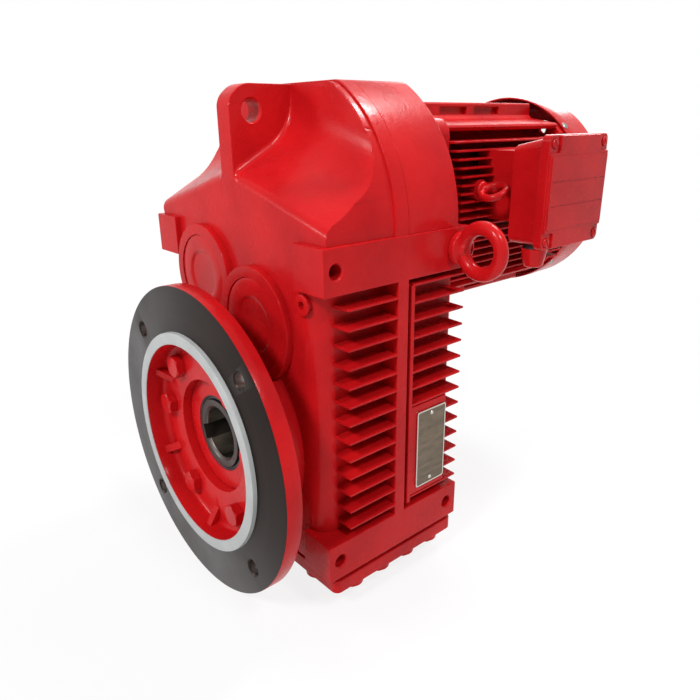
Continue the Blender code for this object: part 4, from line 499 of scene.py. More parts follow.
def carve(body, *cutters, operation="DIFFERENCE"):
    """Boolean of a mesh with others in one step; all are used up and the result comes back."""
    objects = []
    for number, source in enumerate((body, *cutters)):
        mesh = bpy.data.meshes.new("carve_%d" % number)
        source.to_mesh(mesh)
        source.free()
        objects.append(bpy.data.objects.new("carve_%d" % number, mesh))
        bpy.context.scene.collection.objects.link(objects[-1])
    target, *tools = objects
    group = bpy.data.collections.new("carve_tools")
    for tool in tools:
        group.objects.link(tool)
    step = target.modifiers.new("carve", "BOOLEAN")
    step.operation = operation
    step.solver = "EXACT"
    step.operand_type = "COLLECTION"
    step.collection = group
    graph = bpy.context.evaluated_depsgraph_get()
    mesh = bpy.data.meshes.new_from_object(target.evaluated_get(graph))
    result = bmesh.new()
    result.from_mesh(mesh)
    bpy.data.meshes.remove(mesh)
    for made in objects:
        spent = made.data
        bpy.data.objects.remove(made, do_unlink=True)
        bpy.data.meshes.remove(spent)
    bpy.data.collections.remove(group)
    bmesh.ops.remove_doubles(result, verts=result.verts, dist=DOUBLES)
    return result


def joined(body, *others):
    """Union of a mesh with further meshes."""
    return carve(body, *others, operation="UNION")


def merge(body, other):
    """Put one mesh into another."""
    mesh = bpy.data.meshes.new("merge")
    other.to_mesh(mesh)
    other.free()
    body.from_mesh(mesh)
    bpy.data.meshes.remove(mesh)
    return body


def prism(across, low, high, place, turn=0.0):
    """Hexagon bar along the place's Z."""
    body = bmesh.new()
    made = bmesh.ops.create_cone(body, cap_ends=True, segments=6, radius1=across / math.sqrt(3),
                                 radius2=across / math.sqrt(3), depth=high - low)
    spin = Matrix.Translation((0.0, 0.0, (low + high) / 2)) @ Matrix.Rotation(math.radians(turn), 4, "Z")
    bmesh.ops.transform(body, matrix=place @ spin, verts=made["verts"])
    bmesh.ops.recalc_face_normals(body, faces=body.faces)
    return body


def hexagon_screw(across, head, place, stem=None, turn=0.0):
    """Hexagon screw whose head rises from the place's Z = 0, its corners turned down."""
    corner = across / math.sqrt(3)
    bar = prism(across, 0.0, head, place, turn)
    round_off = [(corner * 1.05, -0.001), (corner * 1.05, head - corner * 0.16),
                 (across * 0.47, head + 0.0002)]
    body = carve(bar, solid(round_off, place, 48), operation="INTERSECT")
    if stem:
        radius, depth = stem
        body = joined(body, drum(radius, -depth, head / 2, place, 24))
    return body


def brick(low, high):
    """Box between two corners."""
    body = bmesh.new()
    made = bmesh.ops.create_cube(body, size=1.0)
    bmesh.ops.scale(body, vec=[b - a for a, b in zip(low, high)], verts=made["verts"])
    bmesh.ops.translate(body, vec=[(a + b) / 2 for a, b in zip(low, high)], verts=made["verts"])
    return body


def eased(body, width=0.0011, segments=2, test=None):
    """Round all edges of a simple mesh, or those whose middle passes a test."""
    edges = [edge for edge in body.edges
             if test is None or test((edge.verts[0].co + edge.verts[1].co) / 2)]
    bevel(body, edges, width, segments)
    return body


def both_sides(body):
    """The mesh and its mirror image in X."""
    twin = body.copy()
    bmesh.ops.scale(twin, vec=(-1.0, 1.0, 1.0), verts=twin.verts)
    bmesh.ops.reverse_faces(twin, faces=twin.faces)
    return merge(body, twin)


def slab(points, axis, low, high, corner=0.0, picked=None):
    """Outline drawn across an axis and drawn out from low to high, its picked corners rounded."""
    number = "XYZ".index(axis)
    body = bmesh.new()
    verts = [body.verts.new((*point[:number], low, *point[number:])) for point in points]
    face = body.faces.new(verts)
    if corner:
        bevel(body, verts if picked is None else [verts[place] for place in picked], corner, 5, "VERTICES")
        bmesh.ops.remove_doubles(body, verts=body.verts, dist=0.00005)
        face = body.faces[:][0]
    grown = bmesh.ops.extrude_face_region(body, geom=[face], use_keep_orig=True)
    step = Vector([high - low if letter == axis else 0.0 for letter in "XYZ"])
    moved = [part for part in grown["geom"] if isinstance(part, bmesh.types.BMVert)]
    bmesh.ops.translate(body, vec=step, verts=moved)
    bmesh.ops.recalc_face_normals(body, faces=body.faces)
    return body


def tablet(near, far, axis, low, high, corner=0.0):
    """Slab with a rectangular outline between two corners."""
    return slab([near, (far[0], near[1]), far, (near[0], far[1])], axis, low, high, corner)


def swung(body, degrees, axis=(0.0, 0.0)):
    """Turn a mesh about a shaft axis, upwards from +X."""
    centre = Matrix.Translation((axis[0], 0.0, axis[1]))
    turn = centre @ Matrix.Rotation(-math.radians(degrees), 4, "Y") @ centre.inverted()
    bmesh.ops.transform(body, matrix=turn, verts=body.verts)
    return body


def hoop(major, minor, place, steps=96, rounds=24):
    """Closed ring of round wire whose plane is the place's XZ."""
    body = bmesh.new()
    made = bmesh.ops.create_circle(body, cap_ends=False, radius=minor, segments=rounds)
    bmesh.ops.transform(body, matrix=Matrix.Translation((major, 0.0, 0.0)), verts=made["verts"])
    bmesh.ops.spin(body, geom=body.verts[:] + body.edges[:], cent=(0.0, 0.0, 0.0), axis=(0.0, 1.0, 0.0),
                   angle=math.tau, steps=steps, use_merge=True)
    bmesh.ops.remove_doubles(body, verts=body.verts, dist=DOUBLES)
    bmesh.ops.transform(body, matrix=place, verts=body.verts)
    bmesh.ops.recalc_face_normals(body, faces=body.faces)
    return body


BELL_RADIUS = 0.1605
BELL_TOP = 0.3715
BELL_FACE = 0.141
BELL_STEPS = 32
BELL_CORNER = 0.010
DECK_RISE = math.atan(0.55)
DECK_TILT = 0.277
DECK_CREST = 0.2858
DECK_LOW = 0.217
DECK_FILLET = 0.056
DECK_NOSE = 0.012
DECK_FRONT = 0.066
LUG_HALF = 0.012
LUG_FRONT = 0.0657
LUG_LOW = 0.250
LUG_TOP = 0.3695
LUG_FILLET = 0.010
LUG_HOLE_Y = 0.0915
LUG_HOLE_Z = 0.344
CASE_SIDE = 0.140
CASE_CORNER = 0.022
CASE_REAR = 0.257
FLANK = 0.162
PAD_INNER = 0.1165
PAD_FRONT = 0.0593
PAD_HEIGHTS = ((0.1845, 0.229), (-0.125, -0.082))
PAD_HOLES = ((0.074, 0.207), (0.074, -0.1035), (0.241, 0.207), (0.241, -0.1035))
EYEBOLT_HOLE = (0.241, 0.207)
FIN_ROOT = 0.134
FIN_BASE = 0.0021
FIN_TIP = 0.0012
FRONT_FINS = (13, 0.1682, 0.01985)
REAR_FINS = (14, 0.1779, 0.01904)
CAST_EDGE = 0.0012
FINE_EDGE = 0.0009
BORE_STEPS = 64
ROUND_STEPS = 96


def bell_outline(inset, low):
    """Round bell section with a flat top and straight sides down to low."""
    radius = BELL_RADIUS - inset
    top = BELL_TOP - inset - MOTOR_AXIS[1]
    stop = math.asin(top / radius)
    points = [(radius, low)]
    for step in range(BELL_STEPS + 1):
        angle = stop * step / BELL_STEPS
        points.append((radius * math.cos(angle), MOTOR_AXIS[1] + radius * math.sin(angle)))
    return points + [(-x, z) for x, z in reversed(points)]


def bell_slab(inset, low, start, end):
    """Bell section drawn out along Y, with the ends of its flat rounded."""
    return slab(bell_outline(inset, low), "Y", start, end, BELL_CORNER, (BELL_STEPS + 1, BELL_STEPS + 2))


def deck_stops():
    """Stations of the deck as (y, rise) pairs: rounded nose, slope, fillet and bell face."""
    stops = []
    nose_low = DECK_NOSE * (math.tan(DECK_RISE) - 1 / math.cos(DECK_RISE))
    for step in range(7):
        swing = (math.pi / 2 - DECK_RISE) * step / 6
        stops.append((DECK_FRONT + DECK_NOSE * (1 - math.cos(swing)),
                      nose_low + DECK_NOSE * math.sin(swing)))
    reach = DECK_FILLET * math.tan((math.pi / 2 - DECK_RISE) / 2)
    centre = (BELL_FACE - DECK_FILLET, (BELL_FACE - DECK_FRONT) * math.tan(DECK_RISE) + reach)
    for step in range(15):
        swing = DECK_RISE + (math.pi / 2 - DECK_RISE) * step / 14
        stops.append((centre[0] + DECK_FILLET * math.sin(swing),
                      centre[1] - DECK_FILLET * math.cos(swing)))
    top = stops[-1][1] + 0.12
    return stops + [(BELL_FACE + 0.0004, top), (0.1530, top)]


def deck_section(rise):
    """Section of the deck across X: two slopes that meet the lug with a small fillet."""
    slope = math.atan(DECK_TILT)
    centre = (LUG_HALF + LUG_FILLET,
              DECK_CREST - DECK_TILT * LUG_HALF + LUG_FILLET * math.tan((math.pi / 2 - slope) / 2))
    half = [(BELL_RADIUS, DECK_LOW), (BELL_RADIUS, DECK_CREST - DECK_TILT * BELL_RADIUS + rise)]
    for step in range(6):
        angle = math.radians(270) - slope - (math.radians(90) - slope) * step / 5
        half.append((centre[0] + LUG_FILLET * math.cos(angle),
                     centre[1] + LUG_FILLET * math.sin(angle) + rise))
    return half + [(-x, z) for x, z in reversed(half)]


def deck_body():
    """Deck and bell front in one smooth form, cut to the bell's section."""
    body = bmesh.new()
    loops = []
    for y, rise in deck_stops():
        verts = [body.verts.new((x, y, z)) for x, z in deck_section(rise)]
        loops.append([body.edges.new(pair) for pair in zip(verts, verts[1:] + verts[:1])])
    for near, far in zip(loops, loops[1:]):
        bmesh.ops.bridge_loops(body, edges=near + far)
    bmesh.ops.holes_fill(body, edges=loops[0] + loops[-1])
    bmesh.ops.recalc_face_normals(body, faces=body.faces)
    body = carve(body, bell_slab(0.0022, 0.2185, 0.055, 0.160), operation="INTERSECT")
    return soften(body, CAST_EDGE, 2, 32.0)


def fin(y_start, y_end, height):
    """One cooling fin of the right flank, thinner at its tip."""
    body = brick((FIN_ROOT, y_start, height - FIN_BASE), (FLANK, y_end, height + FIN_BASE))
    for vert in body.verts:
        if vert.co.x > 0.15:
            vert.co.z = height + (FIN_TIP if vert.co.z > height else -FIN_TIP)
    return eased(body, 0.0005)


def flank_groups():
    """Pads, posts, panel and fins of both flanks, in groups that don't overlap inside."""
    pads = bmesh.new()
    for low, high in PAD_HEIGHTS:
        merge(pads, eased(brick((PAD_INNER, PAD_FRONT, low), (FLANK, CASE_REAR, high))))
    posts = merge(eased(brick((0.130, 0.153, -0.084), (FLANK, 0.1678, 0.1865))),
                  eased(brick((0.130, 0.1722, -0.076), (FLANK, 0.177, 0.1776)), FINE_EDGE))
    panel = eased(brick((0.130, 0.1722, -0.0675), (FLANK, 0.232, 0.042)))
    front = bmesh.new()
    number, top, pitch = FRONT_FINS
    for count in range(number):
        merge(front, fin(0.088, 0.158, top - pitch * count))
    rear = bmesh.new()
    number, top, pitch = REAR_FINS
    for count in range(number):
        height = top - pitch * count
        start = 0.228 if -0.068 < height < 0.0425 else 0.1745
        merge(rear, fin(start, 0.254, height))
    return [both_sides(group) for group in (pads, posts, panel, front, rear)]


def shaft_bores():
    """Bearing bores of the three shafts in the gearcase."""
    bores = solid([(0.045, 0.021), (0.045, 0.0443), (0.0545, 0.048), (0.0545, 0.0677), (0.0628, 0.0677),
                   (0.0628, 0.096)], along_y(), ROUND_STEPS)
    merge(bores, solid([(0.0628, 0.218), (0.0628, 0.2483), (0.0545, 0.2483), (0.0545, 0.254),
                        (0.045, 0.2557), (0.045, 0.276)], along_y(), ROUND_STEPS))
    for axis, radius, start, end in (
            (UPPER_AXIS, 0.0453, 0.048, 0.096), (LOWER_AXIS, 0.0503, 0.048, 0.096),
            (UPPER_AXIS, 0.0363, 0.218, 0.245), (LOWER_AXIS, 0.0503, 0.218, 0.249)):
        merge(bores, drum(radius, start, end, on_axis(axis), BORE_STEPS))
    return bores


def case_cuts():
    """Cavity, bores and holes of the gearcase."""
    inside = brick((-0.132, 0.092, -0.135), (0.132, 0.222, 0.215))
    chamber = slab([(-0.118, 0.205), (0.118, 0.205), (0.118, 0.243), (0.060, 0.262), (-0.060, 0.262),
                    (-0.118, 0.243)], "Y", 0.093, 0.169)
    trough = drum(0.0423, 0.166, 0.267, on_axis(MOTOR_AXIS), BORE_STEPS)
    bores = shaft_bores()
    merge(bores, solid([(0.0127, -0.03), (0.0127, -0.0121), (0.0113, -0.0107), (0.0113, 0.0107),
                        (0.0127, 0.0121), (0.0127, 0.03)], along_x(0.0, LUG_HOLE_Y, LUG_HOLE_Z), 48))
    for y, z in PAD_HOLES:
        for side in (1, -1):
            radius = 0.0078 if (y, z) == EYEBOLT_HOLE and side > 0 else 0.0072
            place = along_x(side * FLANK, y, z)
            if side < 0:
                place = place @ HALF_TURN
            hole = [(radius, -0.024), (radius, -0.0014), (radius + 0.0019, 0.0005), (radius + 0.0019, 0.004)]
            merge(bores, solid(hole, place, 40))
    for degrees in FLANGE_SCREWS:
        place = along_y(*circle_spot(SCREW_CIRCLE, degrees))
        merge(bores, drum(SCREW_HOLE, 0.031, 0.058, place, 24))
    for name in ("oil_plug", "drain_plug", "breather_plug"):
        low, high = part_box(name)
        middle = (low + high) / 2
        merge(bores, drum(0.0083, low.y - 0.004, high.y + 0.001, along_y(middle.x, middle.z), 32))
    return [inside, chamber, trough, bores]


def case_body():
    """Gearcase: block, flanks, deck, bell ring, lug and bosses, then all cuts."""
    block = brick((-CASE_SIDE, DECK_FRONT, -0.1246), (CASE_SIDE, 0.2566, 0.2287))
    eased(block, CASE_CORNER, 10,
          lambda middle: middle.y < 0.07 and abs(middle.x) > 0.139 and abs(middle.z) < 0.06)
    ring = eased(bell_slab(0.0, 0.219, 0.1495, 0.167), CAST_EDGE, 2, lambda middle: middle.y < 0.15)
    lug = slab([(LUG_FRONT, LUG_LOW), (0.144, LUG_LOW), (0.144, LUG_TOP), (0.0825, LUG_TOP),
                (LUG_FRONT, 0.3555)], "X", -LUG_HALF, LUG_HALF, 0.008, (3, 4))
    lug = eased(lug, CAST_EDGE, 2,
                lambda middle: abs(middle.x) > 0.0119 and middle.z > 0.257 and middle.y < 0.143)
    upper = eased(drum(0.057, 0.0582, 0.076, on_axis(UPPER_AXIS), ROUND_STEPS), FINE_EDGE, 2,
                  lambda middle: middle.y < 0.0585)
    lower = eased(drum(0.062, 0.0576, 0.076, on_axis(LOWER_AXIS), ROUND_STEPS), FINE_EDGE, 2,
                  lambda middle: middle.y < 0.058)
    nose = solid([(0.0657, 0.031), (0.0657, 0.036), (0.114, 0.036), (0.114, 0.074)], along_y(), ROUND_STEPS,
                 0.0006)
    nose = carve(nose, drum(0.064, 0.021, 0.0612, on_axis(LOWER_AXIS), ROUND_STEPS))
    rear = solid([(0.080, 0.247), (0.080, 0.266)], along_y(), ROUND_STEPS, 0.001)
    body = joined(block, deck_body(), ring, lug, upper, lower, nose, rear, *flank_groups())
    return carve(body, *case_cuts())


def adapter_body():
    """Adapter ring between the bell and the motor, with its nose and bores."""
    body = eased(bell_slab(0.0, 0.2293, 0.1673, 0.241), CAST_EDGE, 2,
                 lambda middle: middle.y > 0.240 or middle.y < 0.1675)
    body = joined(body, drum(0.042, 0.1673, 0.2573, on_axis(MOTOR_AXIS), BORE_STEPS))
    bore = [(0.0313, 0.15), (0.0313, 0.1776), (0.024, 0.1776), (0.024, 0.27)]
    return carve(body, solid(bore, on_axis(MOTOR_AXIS), BORE_STEPS))


CASTINGS = (("drive_endshield", 1.0), ("stator_frame", 0.5), ("rear_endshield", 1.0))
NODE_FINISHES = {"red_paint": "red_enamel", "machined_steel": "machined_steel", "dark_steel": "dark_steel",
                 "wound_core": "wound_core", "black_rubber": "black_rubber", "gasket_fibre": "gasket_fibre",
                 "moulded_plastic": "moulded_plastic", "plate_metal": "plate_metal"}


class GEARMOTOR_OT_finish_nodes(bpy.types.Operator):
    """Give every carried-over CAD node its procedural finish"""

    bl_idname = "gearmotor.finish_nodes"
    bl_label = "Finish CAD nodes"

    def execute(self, context):
        paint = context.scene.gear_motor_paint
        lay_enamel(paint)
        lay_steels(paint)
        lay_others(paint)
        slots = {row["node"]: row["material_slot"] for row in frame["record"]["subparts"]}
        for name, node in NODES.items():
            node.data.materials.clear()
            node.data.materials.append(FINISHES[NODE_FINISHES[slots[name]]])
        return {"FINISHED"}


class GEARMOTOR_OT_castings(bpy.types.Operator):
    """Round the castings' edges"""

    bl_idname = "gearmotor.castings"
    bl_label = "Castings"

    def execute(self, context):
        castings = context.scene.gear_motor_castings
        for node, body in (("gearcase", case_body()), ("adapter", adapter_body())):
            red_piece(node + "_casting", body, node, "red_enamel", 33.0, True)
        for node, share in CASTINGS:
            body = soften(node_copy(node), castings.edge_radius * share)
            red_piece(node + "_casting", body, node, "red_enamel", 40.0, True)
        return {"FINISHED"}


class GEARMOTOR_OT_flange(bpy.types.Operator):
    """Turned output flange with its holes, wedges and screws"""

    bl_idname = "gearmotor.flange"
    bl_label = "Output flange"

    def execute(self, context):
        castings = context.scene.gear_motor_castings
        profile = [(0.175, 0.0), (0.175, 0.018), (0.117, 0.018), (0.117, 0.0357), (0.066, 0.0357),
                   (0.066, 0.020), (0.105, 0.020), (0.1085, 0.0190), (0.1112, 0.0165), (0.112, 0.013),
                   (0.112, -0.005), (0.125, -0.005), (0.125, 0.0)]
        body = soften(turned(profile, along_y(), castings.turned_steps), castings.edge_radius * 0.8)
        for angle in FLANGE_WEDGES:
            wedge = brick((0.092, 0.006, -0.0045), (0.1135, 0.021, 0.0045))
            for vert in wedge.verts:
                if vert.co.x < 0.1 and vert.co.y < 0.01:
                    vert.co.y = 0.019
            body = joined(body, swung(soften(wedge, 0.0012), angle))
        cutter = bmesh.new()
        hole = [(0.0103, -0.004), (0.0103, 0.0001), (0.0088, 0.0016), (0.0088, 0.022)]
        for degrees in (45, 135, 225, 315):
            place = along_y(*circle_spot(HOLE_CIRCLE, degrees))
            merge(cutter, solid(hole, place, castings.small_steps))
        for degrees in FLANGE_SCREWS:
            place = along_y(*circle_spot(SCREW_CIRCLE, degrees))
            merge(cutter, drum(SCREW_HOLE, 0.016, 0.040, place, 24))
        body = carve(body, cutter)
        for face in body.faces:
            middle = face.calc_center_median()
            radius = math.hypot(middle.x, middle.z)
            if middle.y < 0.0012 and 0.1252 < radius < 0.1745:
                face.material_index = 1
            elif middle.y < 0.0 and radius > 0.1113:
                face.material_index = 2
            elif 0.141 < radius < 0.159 and middle.y < 0.0172 and abs(face.normal.y) < 0.8:
                face.material_index = 3
        finishes = ["red_enamel", "machined_face", "pilot_primer", "machined_steel"]
        red_piece("flange_casting", body, "output_flange", finishes, 30.0)
        for number, degrees in enumerate(FLANGE_SCREWS, 1):
            place = along_y(*circle_spot(SCREW_CIRCLE, degrees), 0.0197) @ HALF_TURN
            screw = hexagon_screw(0.024, 0.010, place, (0.0078, 0.036), degrees)
            node = "flange_screw_%d" % number
            red_piece(node + "_hexagon", screw, node, sharp=25.0)
        return {"FINISHED"}


class GEARMOTOR_OT_output(bpy.types.Operator):
    """Hollow output shaft with its keyway, and the seal round it"""

    bl_idname = "gearmotor.output"
    bl_label = "Hollow shaft"

    def execute(self, context):
        steps = context.scene.gear_motor_castings.turned_steps
        low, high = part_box("hollow_shaft")
        front, rear = low.y, high.y
        profile = [(0.030, front + 0.003), (0.033, front), (0.040, front), (0.040, 0.160), (0.049, 0.160),
                   (0.049, 0.1697), (0.045, 0.1697), (0.045, 0.219), (0.040, 0.219), (0.040, rear),
                   (0.033, rear), (0.030, rear - 0.003)]
        body = turned(profile, along_y(), steps, ease=0.0004)
        way = swung(brick((0.024, front - 0.004, -0.009), (0.0344, rear + 0.004, 0.009)), 196)
        body = carve(carve(body, way), brick((0.0407, 0.1757, -0.0063), (0.0493, 0.2123, 0.0063)))
        for face in body.faces:
            middle = face.calc_center_median()
            if math.hypot(middle.x, middle.z) < 0.0338 and abs(face.normal.y) < 0.5:
                face.material_index = 1
        place_piece("hollow_shaft_turned", body, ["dark_steel", "bright_steel"], "output",
                    ("hollow_shaft",), 30.0)
        lip = [(0.0447, 0.0315), (0.0447, 0.044), (0.0403, 0.044), (0.0403, 0.0345), (0.0408, 0.0328),
               (0.0425, 0.0334), (0.0435, 0.0315)]
        place_piece("front_seal_lip", turned(lip, along_y(), steps, ease=0.0003), "black_rubber", "case",
                    ("front_seal",), 30.0)
        return {"FINISHED"}


class GEARMOTOR_OT_caps(bpy.types.Operator):
    """Closing caps and the three socket plugs"""

    bl_idname = "gearmotor.caps"
    bl_label = "Caps and plugs"

    def execute(self, context):
        castings = context.scene.gear_motor_castings
        wall = 0.0022
        for name, axis, radius in (("closing_cap_upper", UPPER_AXIS, 0.045),
                                   ("closing_cap_lower", LOWER_AXIS, 0.050)):
            low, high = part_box(name)
            face, back = low.y, high.y
            profile = [(radius * 0.55, face + wall), (radius * 0.62, face), (radius, face), (radius, back),
                       (radius - wall, back), (radius - wall, face + wall), (radius * 0.66, face + wall),
                       (radius * 0.58, face + 2 * wall)]
            body = solid(profile, on_axis(axis), castings.turned_steps, FINE_EDGE)
            red_piece(name + "_pressed", body, name)
        for name, finish, slot in (("oil_plug", "red_enamel_smooth", "red_paint"),
                                   ("drain_plug", "machined_steel", "machined_steel"),
                                   ("breather_plug", "machined_steel", "machined_steel")):
            low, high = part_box(name)
            middle = (low + high) / 2
            facing = 1.0 if middle.y < 0.1 else -1.0
            seat = low.y + 0.003 if facing > 0 else high.y - 0.003
            place = along_y(middle.x, middle.z, seat)
            if facing < 0:
                place = place @ HALF_TURN
            profile = [(0.0104, -0.003), (0.0104, -0.0003), (0.0080, -0.0003), (0.0080, 0.012)]
            body = solid(profile, place, castings.small_steps, 0.0005)
            body = carve(body, prism(0.008, -0.008, 0.002, place))
            place_piece(name + "_turned", body, finish, replaces=(name,), sharp=30.0)
        return {"FINISHED"}


class GEARMOTOR_OT_eyebolts(bpy.types.Operator):
    """Forged lifting eyebolts of the case and the motor"""

    bl_idname = "gearmotor.eyebolts"
    bl_label = "Eyebolts"

    def execute(self, context):
        castings = context.scene.gear_motor_castings
        for name, ring, wire, collar, thread, depth, height, tilt in (
                ("gearcase_eyebolt", 0.0235, 0.0076, 0.0175, 0.0075, 0.022, 0.062, 0.0),
                ("motor_eyebolt", 0.0140, 0.0040, 0.0100, 0.0038, 0.013, 0.036, 117.0)):
            low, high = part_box(name)
            middle = (low + high) / 2
            place = along_x(low.x + depth, middle.y, middle.z)
            centre = height - ring - wire - 0.0004
            profile = [(thread, -depth), (thread, 0.0003), (collar, 0.0003), (collar, wire * 0.9),
                       (wire * 1.25, wire * 1.3), (wire * 0.98, wire * 1.9),
                       (wire * 0.8, centre - ring + wire * 0.4)]
            body = solid(profile, place, castings.small_steps, CAST_EDGE)
            spot = place @ Matrix.Translation((0.0, 0.0, centre))
            spot = spot @ Matrix.Rotation(math.radians(tilt), 4, "Z")
            red_piece(name + "_forged", joined(body, hoop(ring, wire, spot)), name, sharp=45.0)
        return {"FINISHED"}


class GEARMOTOR_OT_fan_cover(bpy.types.Operator):
    """Pressed fan cover with air slots and rim screws"""

    bl_idname = "gearmotor.fan_cover"
    bl_label = "Fan cover"

    def execute(self, context):
        castings = context.scene.gear_motor_castings
        low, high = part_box("fan_cover")
        front, rear = low.y, high.y
        radius = (high.x - low.x) / 2
        wall = 0.0022
        profile = [(radius, front), (radius, front + 0.020), (radius - 0.0009, front + 0.0212),
                   (radius - 0.0009, rear - 0.014), (radius - 0.005, rear - 0.0048), (radius - 0.014, rear),
                   (0.034, rear), (0.030, rear - 0.0016), (0.0, rear - 0.0016), (0.0, rear - 0.0016 - wall),
                   (0.030, rear - 0.0016 - wall), (0.034, rear - wall), (radius - 0.015, rear - wall),
                   (radius - wall - 0.005, rear - 0.0065), (radius - wall - 0.0009, rear - 0.015),
                   (radius - wall, front)]
        body = turned(profile, on_axis(MOTOR_AXIS), castings.turned_steps, ease=0.0007)
        cutter = bmesh.new()
        for count in range(14):
            for start, stop in ((0.038, 0.066), (0.074, 0.102)):
                slot = brick((start, rear - 0.010, -0.0042), (stop, rear + 0.004, 0.0042))
                bmesh.ops.translate(slot, vec=(MOTOR_AXIS[0], 0.0, MOTOR_AXIS[1]), verts=slot.verts)
                merge(cutter, swung(slot, 360.0 * count / 14, MOTOR_AXIS))
        red_piece("fan_cover_pressed", carve(body, cutter), "fan_cover")
        screws = bmesh.new()
        for angle in (45, 135, 225, 315):
            place = Matrix.Translation((MOTOR_AXIS[0], front + 0.006, MOTOR_AXIS[1])) \
                @ Matrix.Rotation(-math.radians(angle), 4, "Y") @ along_x(radius - 0.001)
            merge(screws, self.rim_screw(place))
        place_piece("fan_cover_screws", screws, "machined_steel")
        return {"FINISHED"}

    def rim_screw(self, place):
        """Slotted pan head."""
        head = [(0.0, -0.001), (0.0048, -0.001), (0.0048, 0.0016), (0.0034, 0.0029), (0.0, 0.0033)]
        body = turned(head, place, 32, closed=False)
        slot = brick((-0.006, -0.0006, 0.0020), (0.006, 0.0006, 0.006))
        bmesh.ops.transform(slot, matrix=place, verts=slot.verts)
        return carve(body, slot)


class GEARMOTOR_OT_bottom(bpy.types.Operator):
    """Bottom cover with its bosses and hexagon screws"""

    bl_idname = "gearmotor.bottom"
    bl_label = "Bottom cover"

    def execute(self, context):
        plate = tablet((-0.160, 0.068), (0.160, 0.255), "Z", -0.147, -0.131, 0.008)
        step = tablet((-0.153, 0.075), (0.153, 0.248), "Z", -0.133, -0.1268, 0.004)
        outer = eased(plate, 0.0014, 2, lambda middle: middle.z < -0.146 or middle.z > -0.132)
        bosses = bmesh.new()
        screws = bmesh.new()
        wide, front, rear = 0.1463, 0.0817, 0.2433
        spots = [(side * wide, front + (rear - front) * (row + 0.5) / 4)
                 for side in (-1, 1) for row in range(4)]
        spots += [(wide * ((row + 0.5) / 2 - 1), y) for y in (front, rear) for row in range(4)]
        for x, y in spots:
            place = Matrix.Translation((x, y, -0.152)) @ HALF_TURN
            merge(bosses, solid([(0.013, -0.019), (0.013, 0.0)], place, 40, 0.001))
            merge(screws, hexagon_screw(0.013, 0.0055, place, (0.0039, 0.012), 15.0))
        body = joined(outer, step, bosses)
        for x, y in spots:
            hole = Matrix.Translation((x, y, 0.0))
            body = carve(body, drum(0.0041, -0.156, -0.138, hole, 20))
        red_piece("bottom_cover_cast", body, "bottom_cover", "red_enamel", 33.0, True)
        red_piece("bottom_cover_screws", screws, sharp=25.0)
        return {"FINISHED"}


